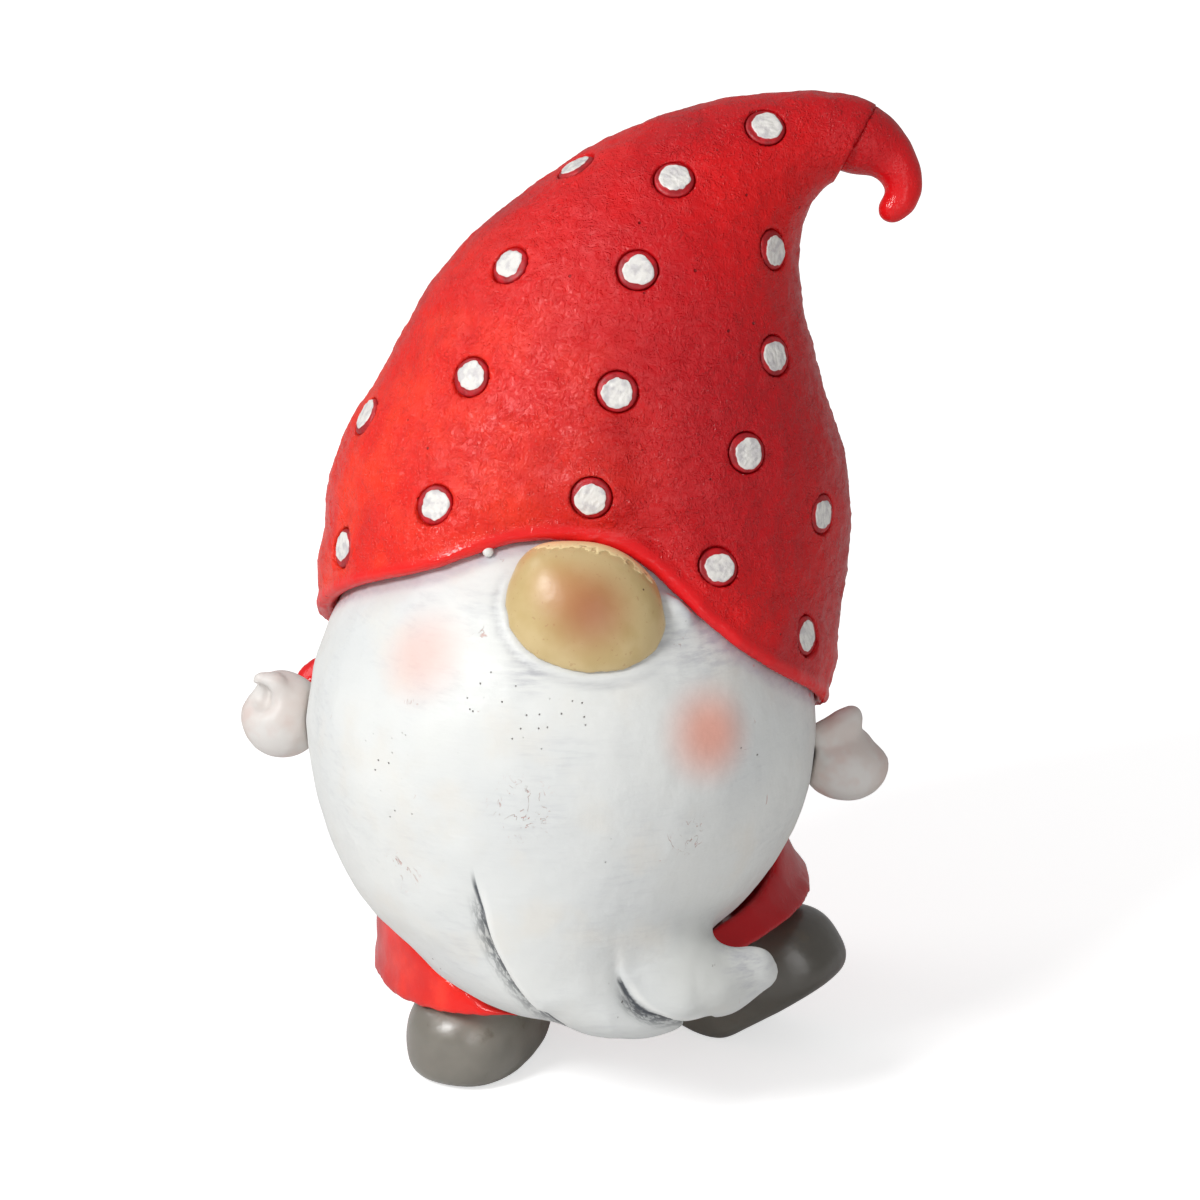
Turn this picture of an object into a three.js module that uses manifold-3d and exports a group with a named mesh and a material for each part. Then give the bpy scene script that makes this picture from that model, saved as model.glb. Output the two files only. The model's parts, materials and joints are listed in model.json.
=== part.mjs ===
// A cast gnome figurine: a ball head whose beard curls to one side, a tall hat pulled down to
// the nose, a flared coat, mitten hands on short sleeves and two stout boots, one of them kicked up.
// Millimetres, +Z up. The gnome faces -Y, and right in the names is the gnome's own right, at -X.
// The origin is on the ground under the middle of the figure's bounding box.

import * as THREE from "three";
import { mergeVertices } from "three/addons/utils/BufferGeometryUtils.js";
import Module from "manifold-3d";

const wasm = await Module();
wasm.setup();

// Clearance between pieces that are glued or seated together
const clearance = 0.3;

// Slivers that joining and cutting leave under this size are dropped
const leastEdge = 0.01;

// Head frame: the ball's centre is its origin, and it looks up by the tilt
const headHeight = 68;
const headTilt = 20;
const ballRadius = 48.5;
const ballColumns = 36;
const ballRows = 7;

// Beard below the ball's middle: across and toward the back, height, and how much narrower and
// shallower than the ball it is there on each side
const beardSections = [
  [0, 0, -12, 1.3, 1.3],
  [-0.5, -0.5, -24, 5.8, 5.6],
  [-1.6, -2.2, -34, 12.4, 11],
  [-1.8, -4.5, -41.5, 20.6, 16.6],
  [-0.3, -7.5, -48, 26.2, 22.6],
  [5.8, -11, -53.4, 30, 28],
  [12, -14.5, -57, 36.4, 34.6],
];
const beardBottom = [14.6, -17, -59.2];
const beardRows = 13;

// The beard's curl, out of the beard to its tip: across, depth behind the ball's front, height,
// half width, half depth
const curl = [
  [15, 32, -30, 8, 8],
  [16.8, 29, -40.4, 9, 8.4],
  [21.8, 26.2, -46, 9.2, 8.8],
  [29, 26.8, -47.2, 7.2, 7.2],
  [34.4, 28.2, -46.6, 5, 5],
  [38, 29, -45.8, 3, 3.2],
];
const curlColumns = 16;
const curlRows = 12;

// Grooves carved down the beard: across, depth behind the ball's front, height
const grooves = [
  [
    [-15.7, 8.2, -25.4],
    [-14.6, 10.3, -31.5],
    [-13.3, 12.8, -38],
    [-10.4, 15.5, -45],
    [-5.6, 17.7, -50.6],
    [0.4, 21.6, -55.4],
  ],
  [
    [10.7, 12.6, -37],
    [10.4, 16.4, -44.2],
    [12.8, 19, -49.8],
    [16.6, 20, -53],
    [23, 20.6, -54.4],
  ],
];
const grooveStart = 0.5;
const grooveEnd = 1.3;
const grooveSides = 8;
const grooveRings = 9;

// Tuft under the brim: where it lies on the ball as a direction, its lift off the ball and its radius
const earTuft = [
  [17.4, -37.6, 23.2, -1, 1.7],
  [20, -38.4, 21.4, -0.2, 2.3],
  [22.8, -38, 19.4, -0.1, 1.8],
];
const tuftSides = 10;
const tuftRings = 5;

// Lines of sight start this far from the head's middle plane
const sightStart = 300;

// Nose, whose middle is sunk into the ball
const noseHalf = { across: 15.3, out: 12, up: 16 };
const nosePlace = { toward: [4.6, -37.5, 17.7], sink: 6.5 };
const noseDroop = 20;
const noseColumns = 24;
const noseRows = 13;

// Hat brim on the ball: across and height for the part in view, then across, depth and height behind
const brimFront = [
  [-44, 22.2],
  [-24, 28.2],
  [-6, 33.6],
  [5, 33],
  [14, 30],
  [19.4, 24.4],
  [33, 13.4],
  [47.8, 3.4],
];
const brimBack = [
  [33, 36, 1.5],
  [4, 48, 3.5],
  [-28, 38, 12],
];
// Its lip, thicker at the gnome's right, and where the hat's inside lies within the ball
const lipThickness = { right: 3.4, left: 1.8 };
const lipSteps = 3;
const brimMarks = 240;
const hatInside = { inset: 8.5, floor: 8 };

// Hat body: across, toward the back, height, half width, half depth, extra pitch in degrees
const hatSections = [
  [5, 4, 37, 50.8, 44, 9],
  [8.7, 2, 49, 47.8, 41, 6],
  [11, -1, 61, 43.8, 37.5, 3],
  [14.4, -3.5, 73, 39.2, 33.8, 0],
  [20, -7, 83.8, 31.8, 28.8, 0],
  [26.4, -9.5, 94.8, 23.6, 22, 0],
  [34.6, -11.5, 102.8, 16.2, 15.6, 0],
  [42.4, -12.5, 107.4, 11.2, 11, 0],
  [49.2, -13, 109.4, 8.7, 8.5, 0],
  [55.6, -13, 108.9, 7.7, 7.6, 0],
  [60.6, -13, 106.1, 7, 7, 0],
];
const hatColumns = 38;
const hatRows = 15;

// Seam between the hat and its tip: a plane square to its heading below the horizon
const tipSeam = { place: [55.9, -13, 109.1], heading: 29.6 };
const seamReach = 32;

// Hat tip, cast by itself and glued on with a peg: across, toward the back, height, radius
const tipSections = [
  [52.4, -13, 110.2, 7],
  [57, -13, 108.6, 6.8],
  [60.6, -13, 106.4, 5.4],
  [62.8, -13, 103.8, 4.4],
  [63.9, -13, 101, 3.8],
  [63.8, -13, 98.2, 3.4],
  [61.9, -13, 96, 2.8],
];
const tipSides = 14;
const tipRings = 10;
const pegRadius = 2.6;
const pegLength = 6;
const pegEmbed = 1;
const pegSides = 12;

// Heights of the rings in a strand's domed end, as shares of the dome
const domeShares = [0.5, 0.85];

// Painted buttons in the hat, as seen from the front and from behind: across and height
const frontDots = [
  [37.8, 110.3],
  [2.6, 103.5],
  [20.8, 100],
  [39.4, 87.4],
  [-9.5, 84.4],
  [14, 82.9],
  [39.5, 67.7],
  [-16.6, 63.7],
  [10.3, 60.6],
  [-36.8, 57.3],
  [34.2, 49.7],
  [48.8, 38.7],
  [-23.2, 40.2],
  [5.6, 41.3],
  [-40.8, 32.5],
  [28.8, 28.9],
  [45.7, 16.2],
];
const backDots = [
  [30, 98],
  [10, 92],
  [31, 79],
  [9, 71],
  [-14, 70],
  [36, 56],
  [14, 50],
  [-9, 49],
  [-31, 45],
  [30, 27],
  [6, 24],
  [-19, 26],
];
const dotRecess = { radius: 4.1, depth: 1.5, above: 3, rimReach: 2.5 };
const dotButton = { groove: 0.5, crown: 0.35, shoulder: 0.5 };
const dotSides = 10;

// Coat: a bell with a rolled hem, its middle line tilted so that the hem rises at the gnome's left.
// Its base lies a rise above the ball's lowest point, and its hem an inset within the ball's radius.
const coatRise = 3.1;
const coatPlace = [6.2, 12, headHeight - ballRadius + coatRise];
const coatTilt = 13;
const hemInset = 3.9;
const hemRadius = ballRadius - hemInset;
const hemRoll = 1.4;
const hemTurns = [-180, -120, -60, 0, 60, 90];
const coatUndercut = 2;
// How far in from the hem, and how high above it
const coatProfile = [
  [1.8, 5.4],
  [3, 10.5],
  [5, 15],
  [10, 20.5],
  [15.5, 26],
  [22.6, 31],
];
const coatSides = 36;
const bodyCore = { radius: 25, foot: 1.5, shoulder: 13, height: 25 };
const coreSides = 16;
const coreDomeSteps = 3;

// Sleeves: where each lies on the ball as a direction, its lift off the ball and its radius
const rightSleeve = [
  [-25, 40, -12.5, 0.3, 6.5],
  [-37, 29, -3.5, -1.4, 7],
  [-46, 11, 6.2, -0.8, 7.3],
];
const leftSleeve = [
  [30, 40.5, -16, 4.4, 6.5],
  [39.5, 30, -11, 2.3, 7],
  [46.5, 14.5, -8.6, 1, 7],
];
const sleeveSides = 16;
const sleeveRings = 6;
const cuffDome = 0.17;

// Mitten hands: the palm by its direction and lift off the ball, thumb and wrist from its middle
const rightMitten = {
  palm: { toward: [-53.4, 4.6, 0.9], lift: 5.1, half: [8.2, 6.8, 8.3] },
  thumb: [
    [0.4, -3.1, 3.1, 3.2],
    [-2.2, -4.1, 5.7, 2.7],
    [-3.8, -4.6, 6.3, 1.9],
  ],
  wrist: [
    [2.4, 1.4, 1.1, 3.6],
    [7, 5.9, 3.1, 3.6],
    [10.4, 10.4, 2.3, 3.4],
  ],
};
const leftMitten = {
  palm: { toward: [54, 5, -8], lift: 6.3, half: [8.8, 7, 7.4] },
  thumb: [
    [0, -2.4, 4, 3.2],
    [1.2, -3.4, 7.2, 2.8],
    [1, -3.6, 8.3, 2.6],
  ],
  wrist: [
    [-3, 2, 0, 3.6],
    [-7, 8, -0.6, 3.6],
    [-10, 13.5, -1, 3.4],
  ],
};
const mittenColumns = 16;
const mittenRows = 9;
const thumbSides = 10;
const thumbRings = 3;
const wristSides = 10;
const wristRings = 2;

// Boots: toe at -Y, sole on the local ground, ankle over the heel
const boot = {
  toeWidth: 12.7,
  heelWidth: 10.2,
  toeHeight: 19.7,
  heelHeight: 17,
  length: 40,
  middle: 8.5,
  plan: 0.82,
  soleEdge: 0.3,
  soleDrop: 0.6,
  soleSink: 0.35,
};
const ankleSocket = 10;
const ankle = { back: 7.5, radius: 6.6, chamfer: 1, top: coatPlace[2] + ankleSocket };
const ankleSides = 16;
const bootColumns = 20;
const bootRows = 12;
const rightBootPlace = { position: [-15.3, -3.4, 0], turn: -24, lift: 0 };
const leftBootPlace = { position: [41.2, 5.4, 5.1], turn: 62, lift: 36 };
const groundSlab = { size: 200, depth: 40 };

// Painted resin
const roughness = 0.5;
const paint = {
  white: 0xe4e2de,
  skin: 0xdcc496,
  red: 0xd42c2c,
  brightRed: 0xe23a33,
  darkRed: 0xb3202a,
  boot: 0x6c665c,
};

// Solids, lofts and booleans

function solidOf(geometry) {
  const bare = geometry.clone();
  bare.deleteAttribute("normal");
  bare.deleteAttribute("uv");
  const merged = mergeVertices(bare, 1e-4);
  return new wasm.Manifold(
    new wasm.Mesh({
      numProp: 3,
      vertProperties: new Float32Array(merged.attributes.position.array),
      triVerts: new Uint32Array(merged.index.array),
    }),
  );
}

function geometryOf(solid) {
  const mesh = solid.simplify(leastEdge).getMesh();
  const geometry = new THREE.BufferGeometry();
  geometry.setAttribute("position", new THREE.BufferAttribute(mesh.vertProperties, 3));
  geometry.setIndex(new THREE.BufferAttribute(mesh.triVerts, 1));
  geometry.computeVertexNormals();
  return geometry;
}

// Skins a stack of rings, each anticlockwise seen from its top, between a bottom and a top point
function skin(rings, bottom, top) {
  const columns = rings[0].length;
  const points = [bottom, ...rings.flat(), top];
  const index = [];
  for (let column = 0; column < columns; column += 1) {
    const next = (column + 1) % columns;
    index.push(0, 1 + next, 1 + column);
    for (let row = 0; row < rings.length - 1; row += 1) {
      const low = 1 + row * columns;
      const high = low + columns;
      index.push(low + column, low + next, high + next);
      index.push(low + column, high + next, high + column);
    }
    const last = 1 + (rings.length - 1) * columns;
    index.push(last + column, last + next, points.length - 1);
  }
  const geometry = new THREE.BufferGeometry().setFromPoints(points);
  geometry.setIndex(index);
  return geometry;
}

// A point in a direction from the ball's middle, lifted off the ball
function onBall([x, y, z], lift) {
  return new THREE.Vector3(x, y, z).setLength(ballRadius + lift);
}

function laidOnBall(stations) {
  return stations.map(([x, y, z, lift, radius]) => [...onBall([x, y, z], lift), radius]);
}

function shifted(stations, by) {
  return stations.map(([x, y, z, radius]) => [x + by.x, y + by.y, z + by.z, radius]);
}

function middleOf(ring) {
  const sum = ring.reduce((total, point) => total.add(point), new THREE.Vector3());
  return sum.divideScalar(ring.length);
}

function turnOf(column, columns) {
  return (2 * Math.PI * column) / columns;
}

// Runs one curve up each column of the control rings, and gives the rings that the curves pass
function refine(controls, rows) {
  const columns = controls[0].length;
  const rings = Array.from({ length: rows + 1 }, () => []);
  for (let column = 0; column < columns; column += 1) {
    const curve = new THREE.CatmullRomCurve3(controls.map((ring) => ring[column]));
    for (let row = 0; row <= rows; row += 1) {
      rings[row].push(curve.getPoint(row / rows));
    }
  }
  return rings;
}

// Elliptical rings square to the spine through the sections' centres. A pitch in degrees raises a
// ring's front.
function sectionRings(sections, columns) {
  const centres = sections.map(([x, y, z]) => new THREE.Vector3(x, y, z));
  const spine = new THREE.CatmullRomCurve3(centres);
  return sections.map(([, , , halfWidth, halfDepth, pitch = 0], i) => {
    const along = spine.getTangent(i / (centres.length - 1));
    const up = new THREE.Vector3(along.x, 0, along.z).normalize();
    const across = new THREE.Vector3(up.z, 0, -up.x);
    const deep = new THREE.Vector3(0, 1, 0).applyAxisAngle(across, -radians(pitch));
    return Array.from({ length: columns }, (_, column) => {
      const angle = turnOf(column, columns);
      return centres[i]
        .clone()
        .addScaledVector(across, halfWidth * Math.cos(angle))
        .addScaledVector(deep, halfDepth * Math.sin(angle));
    });
  });
}

function curlSolid(grow) {
  const sections = curl.map(([x, inset, z, halfWidth, halfDepth]) => {
    return [x, inset - ballRadius, z, halfWidth + grow, halfDepth + grow];
  });
  const rings = refine(sectionRings(sections, curlColumns), curlRows);
  const start = middleOf(rings[0]);
  const end = middleOf(rings[rings.length - 1]);
  const along = end.clone().sub(middleOf(rings[rings.length - 2])).normalize();
  end.addScaledVector(along, sections[sections.length - 1][3]);
  return solidOf(skin(rings, start, end));
}

// A round strand along its stations, with domed ends; grow thickens it for a cut with clearance
function strand(stations, sides, steps, grow = 0, dome = 1) {
  const path = new THREE.CatmullRomCurve3(stations.map(([x, y, z]) => new THREE.Vector3(x, y, z)));
  const width = new THREE.CatmullRomCurve3(
    stations.map(([, , , radius], i) => new THREE.Vector3(i, radius + grow, 0)),
  );
  const first = path.getTangent(0);
  const last = path.getTangent(1);
  const frames = path.computeFrenetFrames(steps);
  const ringAt = (centre, step, radius) =>
    Array.from({ length: sides }, (_, side) => {
      const angle = turnOf(side, sides);
      return centre
        .clone()
        .addScaledVector(frames.normals[step], radius * Math.cos(angle))
        .addScaledVector(frames.binormals[step], radius * Math.sin(angle));
    });
  const rings = [];
  for (let step = 0; step <= steps; step += 1) {
    const share = step / steps;
    const radius = width.getPoint(path.getUtoTmapping(share)).y;
    rings.push(ringAt(path.getPointAt(share), step, radius));
  }
  const capAt = (end, step, radius, out) =>
    domeShares.map((share) =>
      ringAt(
        end.clone().addScaledVector(out, dome * radius * share),
        step,
        radius * Math.sqrt(1 - share * share),
      ),
    );
  const startRadius = stations[0][3] + grow;
  const endRadius = stations[stations.length - 1][3] + grow;
  const start = path.getPoint(0);
  const end = path.getPoint(1);
  const back = first.clone().negate();
  rings.unshift(...capAt(start, 0, startRadius, back).reverse());
  rings.push(...capAt(end, steps, endRadius, last));
  const bottom = start.clone().addScaledVector(back, dome * startRadius);
  const top = end.clone().addScaledVector(last, dome * endRadius);
  return solidOf(skin(rings, bottom, top));
}

function radians(degrees) {
  return THREE.MathUtils.degToRad(degrees);
}

// Head

function headSolid(grow = 0) {
  const radius = ballRadius + grow;
  const level = (x, y, z, halfWidth, halfDepth) =>
    Array.from({ length: ballColumns }, (_, column) => {
      const angle = turnOf(column, ballColumns);
      return new THREE.Vector3(x + halfWidth * Math.cos(angle), y + halfDepth * Math.sin(angle), z);
    });
  const equator = level(0, 0, 0, radius, radius);
  const lower = beardSections.map(([x, y, z, narrower, shallower]) =>
    level(x, y, z, radius - narrower, radius - shallower),
  );
  const rings = refine([equator, ...lower].reverse(), beardRows);
  for (let row = 1; row < ballRows; row += 1) {
    const rise = (Math.PI / 2) * (row / ballRows);
    rings.push(level(0, 0, radius * Math.sin(rise), radius * Math.cos(rise), radius * Math.cos(rise)));
  }
  const bottom = new THREE.Vector3(...beardBottom);
  bottom.z -= grow;
  const ball = solidOf(skin(rings, bottom, new THREE.Vector3(0, 0, radius)));
  return ball
    .add(curlSolid(grow))
    .add(strand(laidOnBall(earTuft), tuftSides, tuftRings, grow));
}

// Cuts each groove into the beard, wider toward its lower end
function carved(solid) {
  return grooves.reduce((beard, line) => {
    const stations = line.map(([x, inset, z], i) => {
      const radius = THREE.MathUtils.lerp(grooveStart, grooveEnd, i / (line.length - 1));
      return [x, inset - ballRadius, z, radius];
    });
    return beard.subtract(strand(stations, grooveSides, grooveRings));
  }, solid);
}

// What a line of sight along Y meets first
function sightOf(target, x, z, toward) {
  const start = new THREE.Vector3(x, -toward * sightStart, z);
  return new THREE.Raycaster(start, new THREE.Vector3(0, toward, 0)).intersectObject(target)[0];
}

// A ball of unit size stretched to three half sizes
function ellipsoid(half, columns, rows) {
  const geometry = new THREE.SphereGeometry(1, columns, rows);
  geometry.rotateX(Math.PI / 2);
  geometry.scale(...half);
  return geometry;
}

function noseSolid(grow = 0) {
  const half = [noseHalf.across + grow, noseHalf.out + grow, noseHalf.up + grow];
  const geometry = ellipsoid(half, noseColumns, noseRows);
  geometry.rotateX(radians(noseDroop));
  geometry.translate(...onBall(nosePlace.toward, -nosePlace.sink));
  return solidOf(geometry);
}

// Hat

function brimCurve(radius) {
  const front = brimFront.map(([x, z]) => {
    const depth = Math.sqrt(Math.max(radius * radius - x * x - z * z, 0));
    return new THREE.Vector3(x, -depth, z);
  });
  const back = brimBack.map((point) => new THREE.Vector3(...point));
  return new THREE.CatmullRomCurve3([...front, ...back], true);
}

// The brim's elevation on the ball at each column's heading
function brimRises(columns) {
  const track = brimCurve(ballRadius).getSpacedPoints(brimMarks);
  const marks = track.map((point) => ({
    heading: Math.atan2(point.y, point.x),
    rise: Math.atan2(point.z, Math.hypot(point.x, point.y)),
  }));
  const wrap = (angle) => Math.atan2(Math.sin(angle), Math.cos(angle));
  return Array.from({ length: columns }, (_, column) => {
    const angle = turnOf(column, columns);
    const i = marks.findIndex((mark, k) => {
      const next = marks[k + 1] ?? marks[0];
      const before = wrap(mark.heading - angle);
      const after = wrap(next.heading - angle);
      return before <= 0 && after > 0 && after - before < Math.PI;
    });
    const from = marks[i];
    const to = marks[i + 1] ?? marks[0];
    const share = wrap(angle - from.heading) / wrap(to.heading - from.heading);
    return THREE.MathUtils.lerp(from.rise, to.rise, share);
  });
}

// Half the lip's thickness at a heading, from the gnome's right round to its left
function lipRadiusAt(angle) {
  const share = (1 + Math.cos(angle)) / 2;
  return THREE.MathUtils.lerp(lipThickness.right, lipThickness.left, share) / 2;
}

function hatBlank() {
  const rises = brimRises(hatColumns);
  const ringAt = (swing) =>
    rises.map((rise, column) => {
      const angle = turnOf(column, hatColumns);
      const lipRadius = lipRadiusAt(angle);
      const lipMiddle = ballRadius + clearance + lipRadius;
      const out = new THREE.Vector3(
        Math.cos(rise) * Math.cos(angle),
        Math.cos(rise) * Math.sin(angle),
        Math.sin(rise),
      );
      const down = new THREE.Vector3(
        Math.sin(rise) * Math.cos(angle),
        Math.sin(rise) * Math.sin(angle),
        -Math.cos(rise),
      );
      return out
        .multiplyScalar(lipMiddle + lipRadius * Math.cos(swing))
        .addScaledVector(down, lipRadius * Math.sin(swing));
    });
  const lip = [];
  for (let step = lipSteps; step > 0; step -= 1) {
    lip.push(ringAt((Math.PI * step) / lipSteps));
  }
  const inside = lip[0].map((point) => point.clone().setLength(ballRadius - hatInside.inset));
  const body = refine([ringAt(0), ...sectionRings(hatSections, hatColumns)], hatRows);
  const bottom = new THREE.Vector3(0, 0, hatInside.floor);
  return solidOf(skin([inside, ...lip, ...body], bottom, middleOf(body[body.length - 1])));
}

// A frame at the seam whose Z runs along the hat, out through the tip
function seamFrame() {
  const turn = new THREE.Quaternion().setFromAxisAngle(
    new THREE.Vector3(0, 1, 0),
    radians(90 + tipSeam.heading),
  );
  return new THREE.Matrix4().compose(
    new THREE.Vector3(...tipSeam.place),
    turn,
    new THREE.Vector3(1, 1, 1),
  );
}

function pegSolid(grow = 0) {
  const profile = [
    [0, -pegLength - grow],
    [pegRadius + grow, -pegLength - grow],
    [pegRadius + grow, pegEmbed],
    [0, pegEmbed],
  ];
  return solidOf(lathe(profile, pegSides).applyMatrix4(seamFrame()));
}

// Everything on the tip's side of the seam, as a block
function seamBlock(setback) {
  const block = new THREE.BoxGeometry(seamReach, seamReach, seamReach);
  block.translate(0, 0, seamReach / 2 - setback);
  return solidOf(block.applyMatrix4(seamFrame()));
}

// Painted buttons

// Where a line of sight meets the hat, with the plane through the rim of the button there
function seatOf(target, [x, z], toward) {
  const reach = dotRecess.rimReach;
  const centre = sightOf(target, x, z, toward).point;
  const rim = [
    [reach, 0],
    [0, reach],
    [-reach, 0],
    [0, -reach],
  ].map(([dx, dz]) => sightOf(target, x + dx, z + dz, toward)?.point ?? null);
  const across = span(rim[0], rim[2], centre, new THREE.Vector3(1, 0, 0));
  const upward = span(rim[1], rim[3], centre, new THREE.Vector3(0, 0, 1));
  const normal = across.cross(upward).normalize().multiplyScalar(toward);
  return { centre, normal };
}

function span(ahead, behind, centre, fallback) {
  if (ahead && behind) {
    return ahead.clone().sub(behind);
  }
  if (ahead || behind) {
    return ahead ? ahead.clone().sub(centre) : centre.clone().sub(behind);
  }
  return fallback.clone();
}

function lathe(profile, sides) {
  const geometry = new THREE.LatheGeometry(
    profile.map(([radius, height]) => new THREE.Vector2(radius, height)),
    sides,
  );
  geometry.rotateX(Math.PI / 2);
  return geometry;
}

function standOn(geometry, { centre, normal }) {
  const turn = new THREE.Quaternion().setFromUnitVectors(new THREE.Vector3(0, 0, 1), normal);
  return geometry.applyQuaternion(turn).translate(centre.x, centre.y, centre.z);
}

function recessSolid(seat) {
  const { radius, depth, above } = dotRecess;
  const profile = [
    [0, -depth],
    [radius, -depth],
    [radius, above],
    [0, above],
  ];
  return solidOf(standOn(lathe(profile, dotSides), seat));
}

function buttonSolid(seat) {
  const radius = dotRecess.radius - dotButton.groove;
  const floor = clearance - dotRecess.depth;
  const { crown, shoulder } = dotButton;
  const profile = [
    [0, floor],
    [radius, floor],
    [radius, -shoulder / 2],
    [radius - shoulder, crown / 2],
    [0, crown],
  ];
  return solidOf(standOn(lathe(profile, dotSides), seat));
}

// Coat

function coatGeometry() {
  const roll = hemTurns.map((degrees) => [
    hemRadius - hemRoll + hemRoll * Math.cos(radians(degrees)),
    hemRoll + hemRoll * Math.sin(radians(degrees)),
  ]);
  const bell = coatProfile.map(([inset, height]) => [hemRadius - inset, height]);
  const under = [
    [0, coatUndercut],
    [hemRadius - 2 * hemRoll - coatUndercut, coatUndercut],
  ];
  const top = [0, coatProfile[coatProfile.length - 1][1]];
  return lathe([...under, ...roll, ...bell, top], coatSides);
}

function coreGeometry(grow = 0) {
  const { radius, foot, shoulder, height } = bodyCore;
  const profile = [
    [0, foot],
    [radius + grow, foot],
  ];
  for (let step = 0; step < coreDomeSteps; step += 1) {
    const rise = (Math.PI / 2) * (step / coreDomeSteps);
    profile.push([
      (radius + grow) * Math.cos(rise),
      shoulder + (height + grow - shoulder) * Math.sin(rise),
    ]);
  }
  profile.push([0, height + grow]);
  return lathe(profile, coreSides);
}

function inCoat(geometry) {
  return geometry.rotateY(radians(-coatTilt)).translate(...coatPlace);
}

// Hands

function mittenSolid({ palm, thumb, wrist }, grow = 0) {
  const middle = onBall(palm.toward, palm.lift);
  const half = palm.half.map((size) => size + grow);
  const hand = ellipsoid(half, mittenColumns, mittenRows).translate(...middle);
  return solidOf(hand)
    .add(strand(shifted(thumb, middle), thumbSides, thumbRings, grow))
    .add(strand(shifted(wrist, middle), wristSides, wristRings, grow));
}

function sleeveSolid(stations, grow = 0) {
  return strand(laidOnBall(stations), sleeveSides, sleeveRings, grow, cuffDome);
}

// Boots

// A stretched ball with a round toe, a narrower heel and a flat sole under a firm edge
function footGeometry(grow = 0) {
  const geometry = new THREE.SphereGeometry(1, bootColumns, bootRows);
  geometry.rotateX(Math.PI / 2);
  const place = geometry.attributes.position;
  const point = new THREE.Vector3();
  const fuller = (value) => Math.sign(value) * Math.abs(value) ** boot.plan;
  for (let i = 0; i < place.count; i += 1) {
    point.fromBufferAttribute(place, i);
    const reach = Math.hypot(point.x, point.y);
    const spread = point.z < 0 && reach > 1e-6 ? reach ** boot.soleEdge / reach : 1;
    const back = (1 + point.y * spread) / 2;
    const ease = back * back * (3 - 2 * back);
    const width = THREE.MathUtils.lerp(boot.toeWidth, boot.heelWidth, ease);
    const height = THREE.MathUtils.lerp(boot.toeHeight, boot.heelHeight, ease);
    const x = fuller(point.x * spread) * (width + grow);
    const y = fuller(point.y * spread) * (boot.length / 2 + grow);
    const drop = Math.abs(point.z) ** boot.soleDrop * (boot.middle + boot.soleSink);
    const rise = point.z * (height + grow - boot.middle);
    const z = boot.middle + (point.z > 0 ? rise : -drop);
    place.setXYZ(i, x, y, Math.max(z, 0));
  }
  return geometry;
}

function ankleGeometry(grow = 0) {
  const profile = [
    [0, boot.middle],
    [ankle.radius + grow, boot.middle],
    [ankle.radius + grow, ankle.top - ankle.chamfer + grow],
    [ankle.radius - ankle.chamfer + grow, ankle.top + grow],
    [0, ankle.top + grow],
  ];
  return lathe(profile, ankleSides).translate(0, ankle.back, 0);
}

function bootFrame({ position, turn, lift }) {
  const yaw = new THREE.Quaternion().setFromAxisAngle(new THREE.Vector3(0, 0, 1), radians(turn));
  const pitch = new THREE.Quaternion().setFromAxisAngle(new THREE.Vector3(1, 0, 0), radians(-lift));
  return new THREE.Matrix4().compose(
    new THREE.Vector3(...position),
    yaw.multiply(pitch),
    new THREE.Vector3(1, 1, 1),
  );
}

function bootSolid(place, grow = 0) {
  const frame = bootFrame(place);
  const foot = solidOf(footGeometry(grow).applyMatrix4(frame));
  const shaft = solidOf(ankleGeometry(grow).applyMatrix4(frame));
  const ground = new THREE.BoxGeometry(groundSlab.size, groundSlab.size, groundSlab.depth);
  ground.translate(0, 0, -groundSlab.depth / 2);
  return foot.add(shaft).subtract(solidOf(ground));
}

// Assembly

function mesh(name, solid, color) {
  const material = new THREE.MeshStandardMaterial({ color, roughness, metalness: 0 });
  const part = new THREE.Mesh(geometryOf(solid), material);
  part.name = name;
  return part;
}

const headFrame = new THREE.Matrix4().compose(
  new THREE.Vector3(0, 0, headHeight),
  new THREE.Quaternion().setFromAxisAngle(new THREE.Vector3(1, 0, 0), radians(-headTilt)),
  new THREE.Vector3(1, 1, 1),
);
const toHead = headFrame.clone().invert();

function moved(solid, matrix) {
  return solidOf(geometryOf(solid).applyMatrix4(matrix));
}

const grownHead = headSolid(clearance);
const grownHeadOnGround = moved(grownHead, headFrame);
const core = solidOf(inCoat(coreGeometry()));
const grownCore = moved(solidOf(inCoat(coreGeometry(clearance))), toHead);

const head = carved(headSolid()).subtract(grownCore);
const nose = noseSolid().subtract(grownHead);

const hatWhole = hatBlank().subtract(grownHead).subtract(noseSolid(clearance));
const hatShaped = hatWhole.subtract(seamBlock(clearance)).subtract(pegSolid(clearance));
const hatTip = strand(tipSections, tipSides, tipRings).intersect(seamBlock(0)).add(pegSolid());

const hatTarget = new THREE.Mesh(geometryOf(hatWhole));
const seats = [
  ...frontDots.map((spot) => seatOf(hatTarget, spot, 1)),
  ...backDots.map((spot) => seatOf(hatTarget, spot, -1)),
];
const hat = seats.reduce((solid, seat) => solid.subtract(recessSolid(seat)), hatShaped);

const mittens = { right: mittenSolid(rightMitten), left: mittenSolid(leftMitten) };
const grownMittens = {
  right: mittenSolid(rightMitten, clearance),
  left: mittenSolid(leftMitten, clearance),
};
const sleeves = { right: sleeveSolid(rightSleeve), left: sleeveSolid(leftSleeve) };
const grownSleeves = [sleeveSolid(rightSleeve, clearance), sleeveSolid(leftSleeve, clearance)];

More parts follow.
